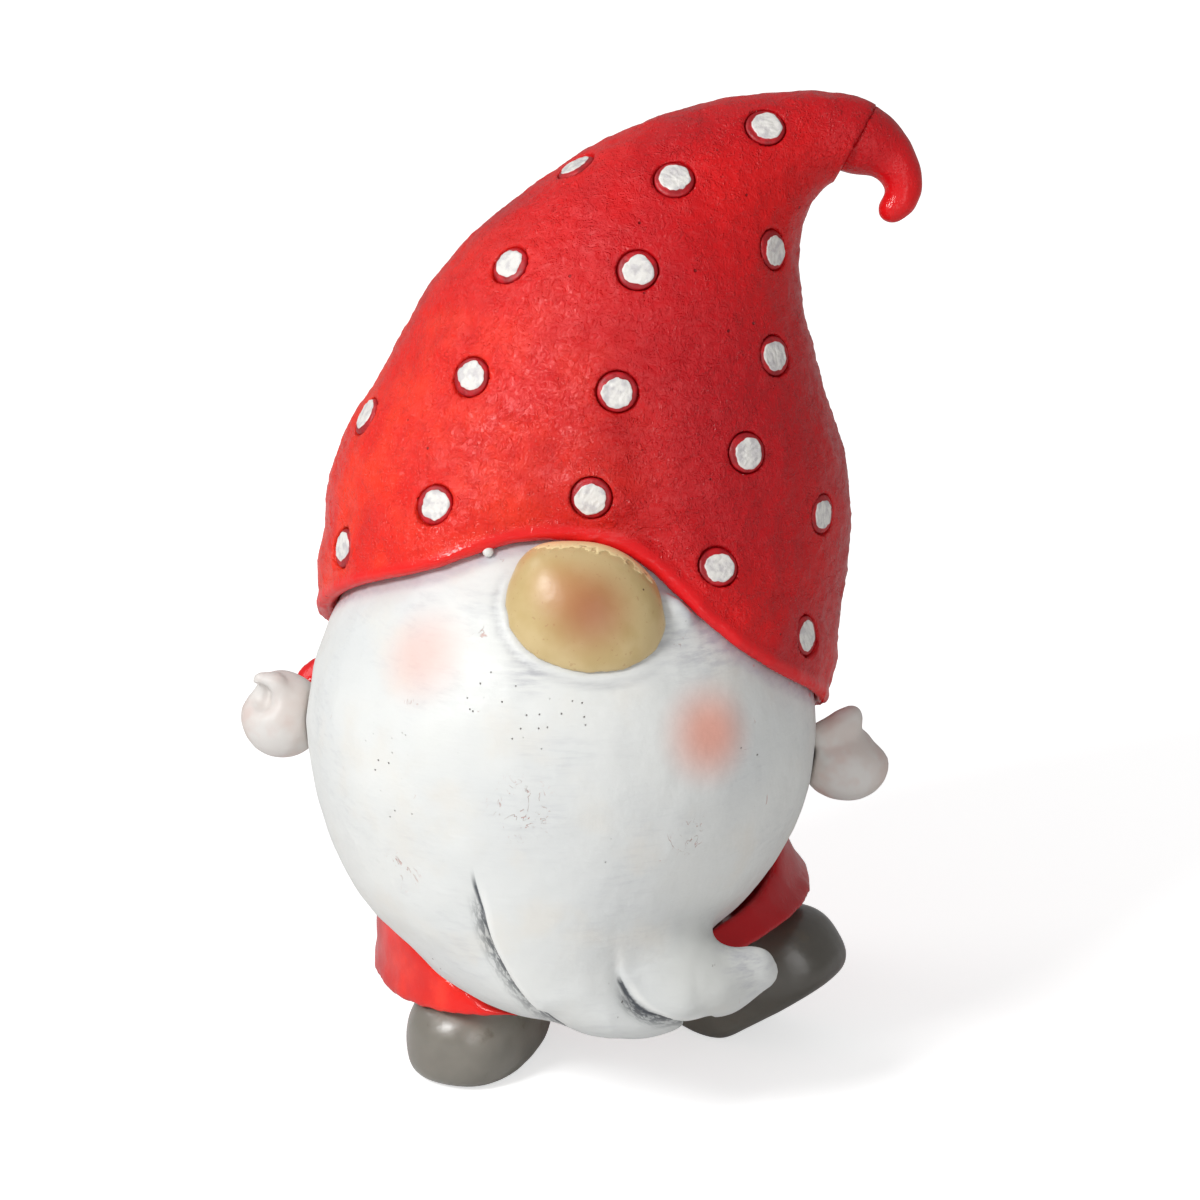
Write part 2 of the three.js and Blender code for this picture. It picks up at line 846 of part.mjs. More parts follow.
const grownBoots = [rightBootPlace, leftBootPlace].map((place) => bootSolid(place, clearance));
let coat = solidOf(inCoat(coatGeometry())).subtract(grownHeadOnGround).add(core);
for (const cut of [...grownBoots, ...grownSleeves.map((sleeve) => moved(sleeve, headFrame))]) {
  coat = coat.subtract(cut);
}

const headGroup = new THREE.Group();
headGroup.position.set(0, 0, headHeight);
headGroup.rotation.x = radians(-headTilt);
headGroup.add(mesh("head", head, paint.white));
headGroup.add(mesh("nose", nose, paint.skin));
headGroup.add(mesh("hat", hat, paint.red));
headGroup.add(mesh("hat_tip", hatTip, paint.brightRed));
seats.forEach((seat, i) => {
  const name = `hat_dot_${String(i + 1).padStart(2, "0")}`;
  headGroup.add(mesh(name, buttonSolid(seat).subtract(grownHead), paint.white));
});
for (const side of ["right", "left"]) {
  const sleeve = sleeves[side].subtract(grownHead).subtract(grownMittens[side]);
  headGroup.add(mesh(`${side}_sleeve`, sleeve, paint.darkRed));
  headGroup.add(mesh(`${side}_mitten`, mittens[side].subtract(grownHead), paint.white));
}

const figure = new THREE.Group();
figure.add(headGroup);
figure.add(mesh("coat", coat, paint.darkRed));
figure.add(mesh("right_boot", bootSolid(rightBootPlace).subtract(grownHeadOnGround), paint.boot));
figure.add(mesh("left_boot", bootSolid(leftBootPlace).subtract(grownHeadOnGround), paint.boot));

// Centres the figure over the origin and stands it on the ground
const bounds = new THREE.Box3().setFromObject(figure, true);
const middle = bounds.getCenter(new THREE.Vector3());
figure.position.set(-middle.x, -middle.y, -bounds.min.z);

const gnome = new THREE.Group();
gnome.add(figure);
export default gnome;
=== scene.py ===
import json
import math
import bpy
import numpy as np
from mathutils import Matrix, Vector, noise
from mathutils.bvhtree import BVHTree
from mathutils.kdtree import KDTree

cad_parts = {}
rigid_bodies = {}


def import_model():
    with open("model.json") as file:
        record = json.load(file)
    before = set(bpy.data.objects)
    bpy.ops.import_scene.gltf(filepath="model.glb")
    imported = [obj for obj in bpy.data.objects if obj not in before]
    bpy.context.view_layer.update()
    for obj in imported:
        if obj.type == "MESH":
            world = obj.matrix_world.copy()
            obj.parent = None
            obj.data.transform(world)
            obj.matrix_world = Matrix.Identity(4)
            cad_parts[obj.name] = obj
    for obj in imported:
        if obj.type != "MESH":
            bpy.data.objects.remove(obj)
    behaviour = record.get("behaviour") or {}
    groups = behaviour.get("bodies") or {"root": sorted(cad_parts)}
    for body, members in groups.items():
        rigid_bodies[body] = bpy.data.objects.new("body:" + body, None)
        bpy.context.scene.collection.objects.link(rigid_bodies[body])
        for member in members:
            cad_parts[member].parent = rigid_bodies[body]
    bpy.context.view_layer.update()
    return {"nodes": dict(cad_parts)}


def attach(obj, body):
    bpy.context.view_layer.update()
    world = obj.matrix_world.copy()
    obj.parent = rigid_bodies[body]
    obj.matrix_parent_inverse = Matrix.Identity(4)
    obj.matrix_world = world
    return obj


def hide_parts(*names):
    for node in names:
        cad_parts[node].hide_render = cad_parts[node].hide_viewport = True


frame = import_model()
nodes = frame["nodes"]
mm = 0.001
print("frame loaded:", len(nodes), "nodes")

# The head's own frame: across, ahead and rise, in mm from the middle of its ball. The middle is
# measured on the points that lie behind and above two planes.
head = {"radius": 48.5, "tilt": 20.0, "behind": 5, "above": 75}
tilt = math.radians(head["tilt"])
across = np.array([1.0, 0.0, 0.0])
ahead = np.array([0.0, -math.cos(tilt), math.sin(tilt)])
rise = np.array([0.0, math.sin(tilt), math.cos(tilt)])


def rowsOf(items, attribute):
    # three numbers for each item of a mesh
    flat = np.empty(len(items) * 3, np.float32)
    items.foreach_get(attribute, flat)
    return flat.reshape(-1, 3).astype(float)


def nodePoints(name):
    return rowsOf(nodes[name].data.vertices, "co") / mm


def ballMiddle():
    points = nodePoints("head")
    back = points[(points[:, 1] > head["behind"]) & (points[:, 2] > head["above"])]
    system = np.c_[2 * back, np.ones(len(back))]
    return np.linalg.lstsq(system, (back**2).sum(1), rcond=None)[0][:3]


middle = ballMiddle()
print("ball middle:", np.round(middle, 2))


def inHead(points):
    offset = points - middle
    return offset @ across, offset @ ahead, offset @ rise


def fromBall(points):
    # distance out from the ball's surface
    return np.linalg.norm(points - middle, axis=1) - head["radius"]


def placeAt(u, w, v):
    return middle + u * across + w * ahead + v * rise


def onBall(u, v, lift=0.0):
    # the point of the ball that lies at (u, v) as seen from ahead
    return placeAt(u, math.sqrt((head["radius"] + lift) ** 2 - u**2 - v**2), v)


def fade(value, low, high):
    share = np.clip((value - low) / (high - low), 0, 1)
    return share * share * (3 - 2 * share)


def hump(value, width):
    return np.exp(-((value / width) ** 2))


# Curves through knots

def curvePoint(a, b, c, d, t):
    # between b and c
    return 0.5 * (2 * b + (c - a) * t + (2 * a - 5 * b + 4 * c - d) * t**2
                  + (3 * b - a - 3 * c + d) * t**3)


def closedCurve(knots, steps=12):
    line = []
    for i in range(len(knots)):
        around = [knots[(i + k) % len(knots)] for k in (-1, 0, 1, 2)]
        for t in np.linspace(0, 1, steps, endpoint=False):
            line.append(curvePoint(*around, t))
    return np.array(line)


def smoothLine(knots, count=80):
    knots = np.array([2 * np.array(knots[0]) - knots[1], *knots, 2 * np.array(knots[-1]) - knots[-2]])
    line = []
    for i in range(1, len(knots) - 2):
        for t in np.linspace(0, 1, count // (len(knots) - 3), endpoint=False):
            line.append(curvePoint(*knots[i - 1:i + 3], t))
    return np.array(line)


def sideOf(u, v, line):
    # signed distance from a line seen from ahead, above zero at its right, and the share run along it
    distance = np.full(len(u), math.inf)
    share = np.zeros(len(u))
    signed = np.zeros(len(u))
    for i in range(len(line) - 1):
        along = line[i + 1] - line[i]
        du, dv = u - line[i][0], v - line[i][1]
        t = np.clip((du * along[0] + dv * along[1]) / (along @ along), 0, 1)
        ru, rv = du - t * along[0], dv - t * along[1]
        reach = np.hypot(ru, rv)
        nearer = reach < distance
        distance[nearer] = reach[nearer]
        share[nearer] = ((i + t) / (len(line) - 1))[nearer]
        signed[nearer] = np.sign(rv * along[0] - ru * along[1])[nearer]
    return distance * signed, share


# Mesh tools

weldGap = 0.001  # joins the corner points of a CAD mesh


def pickOnly(piece):
    bpy.ops.object.select_all(action="DESELECT")
    piece.select_set(True)
    bpy.context.view_layer.objects.active = piece


def copyOf(nodeName, pieceName):
    # a CAD node's mesh as a new piece without materials
    piece = bpy.data.objects.new(pieceName, nodes[nodeName].data.copy())
    bpy.context.scene.collection.objects.link(piece)
    piece.data.materials.clear()
    pickOnly(piece)
    bpy.ops.object.mode_set(mode="EDIT")
    bpy.ops.mesh.select_all(action="SELECT")
    bpy.ops.mesh.remove_doubles(threshold=weldGap * mm)
    bpy.ops.object.mode_set(mode="OBJECT")
    return piece


def applyModifier(piece, kind, **settings):
    modifier = piece.modifiers.new(kind.lower(), kind)
    for key, value in settings.items():
        setattr(modifier, key, value)
    pickOnly(piece)
    bpy.ops.object.modifier_apply(modifier=modifier.name)


def remesh(piece, voxel):
    applyModifier(piece, "REMESH", mode="VOXEL", voxel_size=voxel * mm)


def pointsOf(piece):
    return rowsOf(piece.data.vertices, "co") / mm


def setPoints(piece, points):
    piece.data.vertices.foreach_set("co", (points * mm).astype(np.float32).ravel())
    piece.data.update()


def blurred(piece, values, passes, weight=None):
    # moves each value half way to its neighbours' middle, pass after pass, by its weight
    ends = np.empty(len(piece.data.edges) * 2, np.int32)
    piece.data.edges.foreach_get("vertices", ends)
    first, second = ends[::2], ends[1::2]
    total = len(values)
    count = np.bincount(first, minlength=total) + np.bincount(second, minlength=total)
    pull = 0.5 * (np.ones(total) if weight is None else weight)
    blur = values.copy()
    for _ in range(passes):
        for axis in range(values.shape[1]):
            column = blur[:, axis]
            near = np.bincount(first, column[second], total) + np.bincount(second, column[first], total)
            blur[:, axis] = column + pull * (near / count - column)
    return blur


def relax(piece, passes, weight=None, keep=1):
    # smooths a piece, and gives back the size that each smoothing takes
    points = pointsOf(piece)
    smooth = blurred(piece, points, passes, weight)
    for _ in range(keep):
        smooth += blurred(piece, points - smooth, passes, weight)
    setPoints(piece, smooth)


def push(piece, distance):
    normals = rowsOf(piece.data.vertex_normals, "vector")
    setPoints(piece, pointsOf(piece) + normals * distance[:, None])


def swell(piece, places):
    # raises or sinks the surface about places seen from ahead: u, v, reach and height
    u, w, v = inHead(pointsOf(piece))
    lift = np.zeros(len(u))
    for a, b, reach, height in places:
        lift += height * np.exp(-((u - a) ** 2 + (v - b) ** 2) / reach**2)
    push(piece, lift)


def joinInto(piece, others):
    bpy.ops.object.select_all(action="DESELECT")
    for other in others:
        other.select_set(True)
    piece.select_set(True)
    bpy.context.view_layer.objects.active = piece
    bpy.ops.object.join()


def grain(points, size, seed, octaves=2):
    # smooth noise about zero, with features about size mm across
    shift = Vector((seed * 7.1, seed * 3.3, seed * 5.7))
    return np.array([noise.fractal(Vector(point) / size + shift, 1.0, 2.0, octaves) for point in points])


def reachTo(points, nodeName, limit):
    # distance in mm from each point to a CAD node, up to a limit
    faces = [tuple(face.vertices) for face in nodes[nodeName].data.polygons]
    tree = BVHTree.FromPolygons([tuple(point) for point in nodePoints(nodeName)], faces)
    found = [tree.find_nearest(point, limit)[3] for point in points]
    return np.array([limit if reach is None else reach for reach in found])


def reachToLine(points, line):
    tree = KDTree(len(line))
    for i, point in enumerate(line):
        tree.insert(point, i)
    tree.balance()
    return np.array([tree.find(point)[2] for point in points])


def keepLargest(piece):
    # deletes the small closed shells that a remesh leaves inside
    top = int(pointsOf(piece)[:, 2].argmax())
    pickOnly(piece)
    bpy.ops.object.mode_set(mode="EDIT")
    bpy.ops.mesh.select_mode(type="VERT")
    bpy.ops.mesh.select_all(action="DESELECT")
    bpy.ops.object.mode_set(mode="OBJECT")
    piece.data.vertices[top].select = True
    bpy.ops.object.mode_set(mode="EDIT")
    bpy.ops.mesh.select_linked()
    bpy.ops.mesh.select_all(action="INVERT")
    bpy.ops.mesh.delete(type="VERT")
    bpy.ops.object.mode_set(mode="OBJECT")


def softCopy(nodeName, pieceName, form):
    # a smooth copy of a CAD node, with low lumps all over
    piece = copyOf(nodeName, pieceName)
    remesh(piece, form["voxel"])
    relax(piece, form["passes"], keep=form["keep"])
    push(piece, grain(pointsOf(piece), 6, len(pieceName)) * form["lumps"])
    return piece


def paintAttribute(piece, name, values):
    attribute = piece.data.attributes.new(name, "FLOAT", "POINT")
    attribute.data.foreach_set("value", values.astype(np.float32))


def finish(piece, material, slot, *replaced):
    pickOnly(piece)
    bpy.ops.object.shade_smooth()
    piece.data.materials.clear()
    piece.data.materials.append(material)
    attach(piece, "root")
    if replaced:
        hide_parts(*replaced)
    print("made", piece.name, len(piece.data.vertices), "points")


# Material tools

class Paint:
    def __init__(self, name):
        self.material = bpy.data.materials.new(name)
        self.material.use_nodes = True
        self.tree = self.material.node_tree
        self.shader = self.tree.nodes["Principled BSDF"]
        self.coords = self.add("ShaderNodeTexCoord").outputs["Object"]

    def add(self, kind, **settings):
        made = self.tree.nodes.new(kind)
        for key, value in settings.items():
            setattr(made, key, value)
        return made

    def wire(self, source, socket):
        if isinstance(source, bpy.types.NodeSocket):
            self.tree.links.new(source, socket)
        else:
            socket.default_value = source

    def stretch(self, scale=(1, 1, 1), turn=(0, 0, 0)):
        made = self.add("ShaderNodeMapping")
        self.wire(self.coords, made.inputs["Vector"])
        made.inputs["Scale"].default_value = scale
        made.inputs["Rotation"].default_value = [math.radians(angle) for angle in turn]
        return made.outputs["Vector"]

    def noise(self, size, detail=2.0, rough=0.5, distortion=0.0, vector=None):
        # size is the features' size in mm
        made = self.add("ShaderNodeTexNoise")
        self.wire(vector or self.coords, made.inputs["Vector"])
        made.inputs["Scale"].default_value = 1000.0 / size
        made.inputs["Detail"].default_value = detail
        made.inputs["Roughness"].default_value = rough
        made.inputs["Distortion"].default_value = distortion
        return made.outputs["Fac"]

    def cells(self, size, flat=False):
        # flat cells are laid out as seen from the front
        made = self.add("ShaderNodeTexVoronoi", voronoi_dimensions="2D" if flat else "3D")
        self.wire(self.stretch(turn=(90, 0, 0)) if flat else self.coords, made.inputs["Vector"])
        made.inputs["Scale"].default_value = 1000.0 / size
        return made

    def ramp(self, value, low, high, start=0.0, end=1.0, kind="SMOOTHSTEP"):
        made = self.add("ShaderNodeMapRange", interpolation_type=kind, clamp=True)
        self.wire(value, made.inputs["Value"])
        for key, number in (("From Min", low), ("From Max", high), ("To Min", start), ("To Max", end)):
            made.inputs[key].default_value = number
        return made.outputs["Result"]

    def reckon(self, kind, first, second=0.0):
        made = self.add("ShaderNodeMath", operation=kind)
        self.wire(first, made.inputs[0])
        self.wire(second, made.inputs[1])
        return made.outputs[0]

    def times(self, first, *others):
        for other in others:
            first = self.reckon("MULTIPLY", first, other)
        return first

    def thinLines(self, value, width, start=0.0, end=1.0):
        # start on the lines where a noise is a half, and end past their width
        away = self.reckon("ABSOLUTE", self.reckon("SUBTRACT", value, 0.5))
        return self.ramp(away, 0.0, width, start, end)

    def blend(self, share, first, second):
        made = self.add("ShaderNodeMix", data_type="RGBA", blend_type="MIX")
        self.wire(share, made.inputs["Factor"])
        self.wire(colour(first), made.inputs[6])
        self.wire(colour(second), made.inputs[7])
        return made.outputs[2]

    def spot(self, place, inner, outer):
        # 1 inside the inner radius about a place in mm, 0 outside the outer one
        made = self.add("ShaderNodeVectorMath", operation="DISTANCE")
        self.wire(self.coords, made.inputs[0])
        made.inputs[1].default_value = [number * mm for number in place]
        return self.ramp(made.outputs["Value"], inner * mm, outer * mm, 1.0, 0.0)

    def along(self, *parts):
        # a vector whose parts are attributes in mm
        made = self.add("ShaderNodeCombineXYZ")
        for part, socket in zip(parts, made.inputs):
            self.wire(self.times(part, mm), socket)
        return made.outputs[0]

    def attribute(self, name):
        return self.add("ShaderNodeAttribute", attribute_name=name).outputs["Fac"]

    def bump(self, height, depth, normal=None):
        # depth is the relief's depth in mm
        made = self.add("ShaderNodeBump")
        made.inputs["Strength"].default_value = 1.0
        made.inputs["Distance"].default_value = depth * mm
        self.wire(height, made.inputs["Height"])
        if normal:
            self.wire(normal, made.inputs["Normal"])
        return made.outputs["Normal"]

    def done(self, base, rough, normal, specular=0.5, coat=0.0, coatRough=0.1):
        self.wire(colour(base), self.shader.inputs["Base Color"])
        self.wire(rough, self.shader.inputs["Roughness"])
        self.wire(normal, self.shader.inputs["Normal"])
        self.shader.inputs["Specular IOR Level"].default_value = specular
        self.shader.inputs["Coat Weight"].default_value = coat
        self.shader.inputs["Coat Roughness"].default_value = coatRough
        if coat:
            self.wire(normal, self.shader.inputs["Coat Normal"])
        return self.material


def colour(value):
    # a colour given as eight-bit numbers becomes the shader's linear one
    if isinstance(value, bpy.types.NodeSocket):
        return value
    parts = [number / 255 for number in value]
    return [part / 12.92 if part < 0.04 else ((part + 0.055) / 1.055) ** 2.4 for part in parts] + [1.0]


# Brim: its edge all the way round, from the lowest points of the hat's lip

brim = {
    "skin": (0.6, 4.2),  # how far out from the ball the lip lies
    "marks": 36,
    "reach": math.tau / 60,
    "corner": {"lift": 1.5, "u": (34, 44), "down": (-10, -3)},  # higher, at the gnome's left
}


def brimEdge():
    points = nodePoints("hat")
    u, w, v = inHead(points)
    low, high = brim["skin"]
    lip = (fromBall(points) > low) & (fromBall(points) < high)
    heading = np.arctan2(w, u)
    elevation = np.arcsin(v / np.linalg.norm(points - middle, axis=1))
    edge = []
    for step in range(brim["marks"]):
        angle = (step - (brim["marks"] - 1) / 2) * math.tau / brim["marks"]
        away = np.abs(np.angle(np.exp(1j * (heading - angle))))
        near = np.flatnonzero(lip & (away < brim["reach"]))
        if len(near):
            edge.append(points[near[elevation[near].argmin()]])
    return np.array(edge)


def lifted(points):
    u, w, v = inHead(points)
    corner = brim["corner"]
    return points + np.outer(corner["lift"] * fade(u, *corner["u"]) * fade(-v, *corner["down"]), rise)


brimLine = lifted(closedCurve(brimEdge()))


# White paint of the head and beard

whiteLook = {
    "base": (225, 226, 223), "cool": (217, 219, 218), "warm": (223, 220, 213),
    "smudge": (158, 158, 168), "shade": (190, 191, 187), "blush": (236, 146, 118),
    "washAndShade": (84, 87, 92), "crest": (236, 236, 233), "byNose": (128, 128, 136),
    "byBrim": (182, 178, 190), "strayRed": (214, 124, 122), "pit": (82, 70, 66), "scratch": (186, 104, 84),
    "brushSize": 1.5,
    # u, v, inner and outer radius, strength
    "cheeks": [(-25.3, 13.0, 1.0, 12.0, 0.34), (27.2, -1.4, 1.0, 12.0, 0.72)],
    # u, w, v, inner and outer radius, strength: broad painted shades under the brim at both sides and a
    # darker grey on the curl, then smudges by the nose and on the curl
    "shades": [(26, 26, -45, 3, 15, 0.8), (34, 28, 14, 2, 12, 0.4), (-30, 25, 26, 2, 10, 0.3)],
    "smudges": [(-5.5, 46, 9.6, 1, 6, 0.5), (22, 41, 14, 1, 10, 0.35), (28, 36, 16, 1, 9, 0.6),
                (-17, 41, 21, 1, 8, 0.2), (33, 22, -45, 1, 8, 0.9)],
    # u, v and radius of the clusters
    "pits": [(-12, 5, 6), (-5, 3.4, 6), (3, 2, 4), (34.2, -3.6, 5)],
    "scratches": [(-7, -15, 8), (-28, -26, 6), (2, -42, 8), (24, -20, 5)],
}


def brushedWhite(paint, strokes):
    look = whiteLook
    base = paint.blend(paint.ramp(paint.noise(34, 3), 0.35, 0.65), look["base"], look["cool"])
    base = paint.blend(paint.ramp(paint.noise(13, 4), 0.5, 0.75, 0, 0.7), base, look["warm"])
    patches = paint.ramp(paint.noise(17, 3), 0.42, 0.66)
    base = paint.blend(paint.times(paint.ramp(strokes, 0.45, 0.75), patches, 0.17), base, look["smudge"])
    # painted shade under the brim at both sides, and a darker grey on the curl
    for u, w, v, inner, outer, strength in look["shades"]:
        near = paint.times(paint.spot(placeAt(u, w, v), inner, outer), strength)
        base = paint.blend(near, base, look["shade"])
    for u, w, v, inner, outer, strength in look["smudges"]:
        near = paint.spot(placeAt(u, w, v), inner, outer)
        dirty = paint.times(near, paint.ramp(strokes, 0.36, 0.72), strength)
        base = paint.blend(dirty, base, look["smudge"])
    for u, v, inner, outer, strength in look["cheeks"]:
        cheek = paint.times(paint.spot(onBall(u, v), inner, outer), strength)
        base = paint.blend(cheek, base, look["blush"])
    return base


def grooveWashAndShade(paint, base):
    # grey wash and painted shade in the grooves, streaked along them and darkest at the foot of the steep
    # side
    look = whiteLook
    side = paint.attribute("grooveSide")
    reach = paint.attribute("grooveReach")
    run = paint.attribute("grooveRun")
    streaks = paint.noise(0.5, 4, 0.65, 0.4, vector=paint.along(side, paint.times(run, 0.14)))
    line = paint.times(paint.ramp(side, -0.8, -0.15), paint.ramp(side, 0.1, 0.35, 1, 0))
    soft = paint.times(paint.ramp(side, -3.0, -0.2), paint.ramp(side, 0.1, 0.5, 1, 0))
    dark = paint.times(line, paint.ramp(streaks, 0.3, 0.5, 0.7, 1.0))
    pale = paint.times(soft, paint.ramp(streaks, 0.4, 0.56, 0.2, 0.95), paint.ramp(reach, 0.35, 1.0))
    washAndShade = paint.times(paint.reckon("MAXIMUM", dark, pale), paint.ramp(reach, 0.0, 0.35))
    base = paint.blend(washAndShade, base, look["washAndShade"])
    # a painted highlight along the proud crest beside each groove
    crest = paint.times(paint.ramp(side, 0.3, 0.7), paint.ramp(side, 0.9, 2.2, 1, 0))
    return paint.blend(paint.times(crest, paint.ramp(reach, 0.1, 0.8, 0, 0.7)), base, look["crest"])


def castingPits(paint):
    clusters = paint.ramp(paint.noise(21, 2), 0.64, 0.68)
    for u, v, size in whiteLook["pits"]:
        clusters = paint.reckon("MAXIMUM", clusters, paint.spot(onBall(u, v), size * 0.7, size))
    cells = paint.cells(2.1, flat=True)
    here = paint.ramp(cells.outputs["Color"], 0.54, 0.75)
    return paint.times(here, paint.ramp(cells.outputs["Distance"], 0.04, 0.09, 1, 0), clusters)


def thinScratches(paint):
    spots = paint.ramp(paint.noise(9, 2, vector=paint.stretch(turn=(0, 0, 30))), 0.66, 0.7, 0, 0.7)
    for u, v, size in whiteLook["scratches"]:
        spots = paint.reckon("MAXIMUM", spots, paint.spot(onBall(u, v), size * 0.3, size))
    lines = paint.noise(5.5, 3, 0.6, 1.2, vector=paint.stretch((1, 1, 0.8), (20, 40, 0)))
    broken = paint.ramp(paint.noise(1.6, 3), 0.48, 0.56)
    return paint.times(paint.thinLines(lines, 0.009, 1, 0), spots, broken)


def whitePaint():
    paint = Paint("white_resin_paint")
    look = whiteLook
    strokes = paint.noise(look["brushSize"], 4, 0.6, vector=paint.stretch((0.22, 0.5, 1.5), (0, 8, 0)))
    base = grooveWashAndShade(paint, brushedWhite(paint, strokes))
    # grey wash and painted shade round the nose
    around = paint.times(paint.attribute("aroundNose"), paint.ramp(strokes, 0.3, 0.7, 0.3, 0.75))
    base = paint.blend(around, base, look["byNose"])
    # painted lilac shade under the brim, and a thin line of red left by the brush
    nearBrim = paint.attribute("brimNear")
    shade = paint.times(paint.ramp(nearBrim, 0.1, 1.0), paint.ramp(strokes, 0.3, 0.7, 0.4, 0.75))
    base = paint.blend(shade, base, look["byBrim"])
    strayed = paint.reckon("ADD", nearBrim, paint.ramp(paint.noise(2.6, 3), 0.3, 0.7, -0.2, 0.2))
    base = paint.blend(paint.ramp(strayed, 1.06, 1.14, 0, 0.6), base, look["strayRed"])
    pit = castingPits(paint)
    base = paint.blend(paint.times(pit, 0.85), base, look["pit"])
    scratch = thinScratches(paint)
    base = paint.blend(paint.times(scratch, 0.75), base, look["scratch"])
    relief = paint.bump(strokes, 0.05)
    relief = paint.bump(paint.noise(6, 3), 0.3, relief)
    relief = paint.bump(paint.times(pit, -1.0), 0.25, relief)
    relief = paint.bump(paint.times(scratch, -1.0), 0.1, relief)
    return paint.done(base, paint.ramp(strokes, 0.3, 0.7, 0.4, 0.56), relief, specular=0.4)


# Beard: the ball of the head with its swept beard

beardForm = {
    "voxel": 0.74, "passes": 67,
    # the curl's tip and the tuft keep most of their size
    "tip": {"u": (27, 33), "down": (34, 40), "w": (0, 8)},
    "tuft": {"u": 20, "v": 21.4, "reach": (4, 6)},
    "kept": 0.8,
    # smoothed again: the curl's root, and where the grooves run out at the bottom
    "root": {"u": 19, "v": -37, "half": (13, 12.5), "reach": (1.3, 0.7), "w": (5, 12), "passes": 195},
    "bottom": {"u": 1.5, "v": -57.5, "reach": (8, 4), "passes": 105},
    # lines seen from ahead, where each wash and painted shade sets in along its line, and how much is lost
    # at its end
    "grooves": [
        {"line": [(-16.2, -24.5), (-15.4, -29), (-14.3, -33.5), (-13, -38.7), (-10.5, -44.2),
                  (-7.5, -48.7), (-4, -52.7), (0.8, -56.2)], "start": 0.0, "loss": 0.0},
        {"line": [(10.6, -36), (10.4, -41), (10.7, -45.7), (11.6, -47.9), (13.6, -51),
                  (16.6, -53.4), (20.6, -54.7), (24.6, -54.8), (28, -54.2)], "start": 0.2, "loss": 0.8},
    ],
    "depth": (0.7, 1.5),  # from a groove's start to its end
    "steep": 0.55, "gentle": 1.7,  # widths of its two sides
    "crest": 6.5, "foot": 5.0, "footSink": 0.3,  # the proud lock beside it, and the low side
    "front": (-4, 5), "washAndShadeFront": (-14, -6), "washAndShadeEdge": (-4.4, -3.4), "runLength": 60,
    "curl": [(37.6, -41.5, 3.6, 1.2), (39.6, -47.8, 2.6, 0.5), (40.8, -44.9, 1.8, -0.7)],
    "waves": 0.3, "lumps": 0.09,
    "farAway": 20.0,
}
noseRim = {
    "limit": 9.0, "u": 5, "v": 22, "reach": 30, "ahead": 18, "above": -2,
    "height": 0.4, "away": 1.5, "width": 0.6,
    # where the grey wash and painted shade lie round the nose, and how strong they are
    "washAndShadeAway": 2.9, "washAndShadeWidth": 0.8, "washAndShade": 0.5,
}
brimShade = {"start": 1.0, "width": 2.6}


def carveGrooves(piece):
    form = beardForm
    u, w, v = inHead(pointsOf(piece))
    front = fade(w, *form["front"])
    lift = np.zeros(len(u))
    nearest = np.full(len(u), form["farAway"])
    reach = np.zeros(len(u))
    run = np.zeros(len(u))
    low, high = form["depth"]
    for groove in form["grooves"]:
        side, share = sideOf(u, v, smoothLine(groove["line"]))
        strength = fade(share, 0.0, 0.5) * front * (1 - groove["loss"] * fade(share, 0.8, 1.0))
        depth = (low + (high - low) * share) * strength
        crest = np.where(side > 0, (1 - np.exp(-side / form["steep"])) * hump(side, form["crest"]), 0)
        foot = np.where(side <= 0, hump(side, form["foot"]), 0)
        carved = depth * np.where(side > 0, hump(side, form["steep"]), hump(side, form["gentle"]))
        lift += depth * crest - form["footSink"] * depth * foot - carved
        closer = np.abs(side) < np.abs(nearest)
        nearest = np.where(closer, side, nearest)
        # the share of grey wash and painted shade beside each groove
        washAndShade = fade(w, *form["washAndShadeFront"]) * fade(share, groove["start"], groove["start"] + 0.4)
        washAndShade *= 1 - groove["loss"] * fade(share, 0.85, 1.0)
        reach = np.where(closer, washAndShade * fade(-np.abs(side), *form["washAndShadeEdge"]), reach)
        run = np.where(closer, form["runLength"] * share, run)
    push(piece, lift)
    paintAttribute(piece, "grooveSide", nearest)
    paintAttribute(piece, "grooveReach", reach)
    paintAttribute(piece, "grooveRun", run)


def markNoseAndBrim(piece):
    # a thin raised rim and a grey wash with painted shade round the nose, and the painted shade under the
    # brim
    rim = noseRim
    points = pointsOf(piece)
    u, w, v = inHead(points)
    toNose = np.full(len(points), rim["limit"])
    near = np.flatnonzero((w > rim["ahead"]) & (v > rim["above"]) & (np.abs(u - rim["u"]) < rim["reach"]))
    toNose[near] = reachTo(points[near], "nose", rim["limit"])
    below = fade(0.7 * (rim["u"] - u) - (v - rim["v"]), 0, 12)
    push(piece, rim["height"] * hump(toNose - rim["away"], rim["width"]) * below)
    washAndShade = below * hump(toNose - rim["washAndShadeAway"], rim["washAndShadeWidth"]) + hump(toNose, rim["washAndShadeWidth"])
    paintAttribute(piece, "aroundNose", rim["washAndShade"] * washAndShade)
    toBrim = reachToLine(points, brimLine)
    paintAttribute(piece, "brimNear", 1 - np.clip((toBrim - brimShade["start"]) / brimShade["width"], 0, 1))


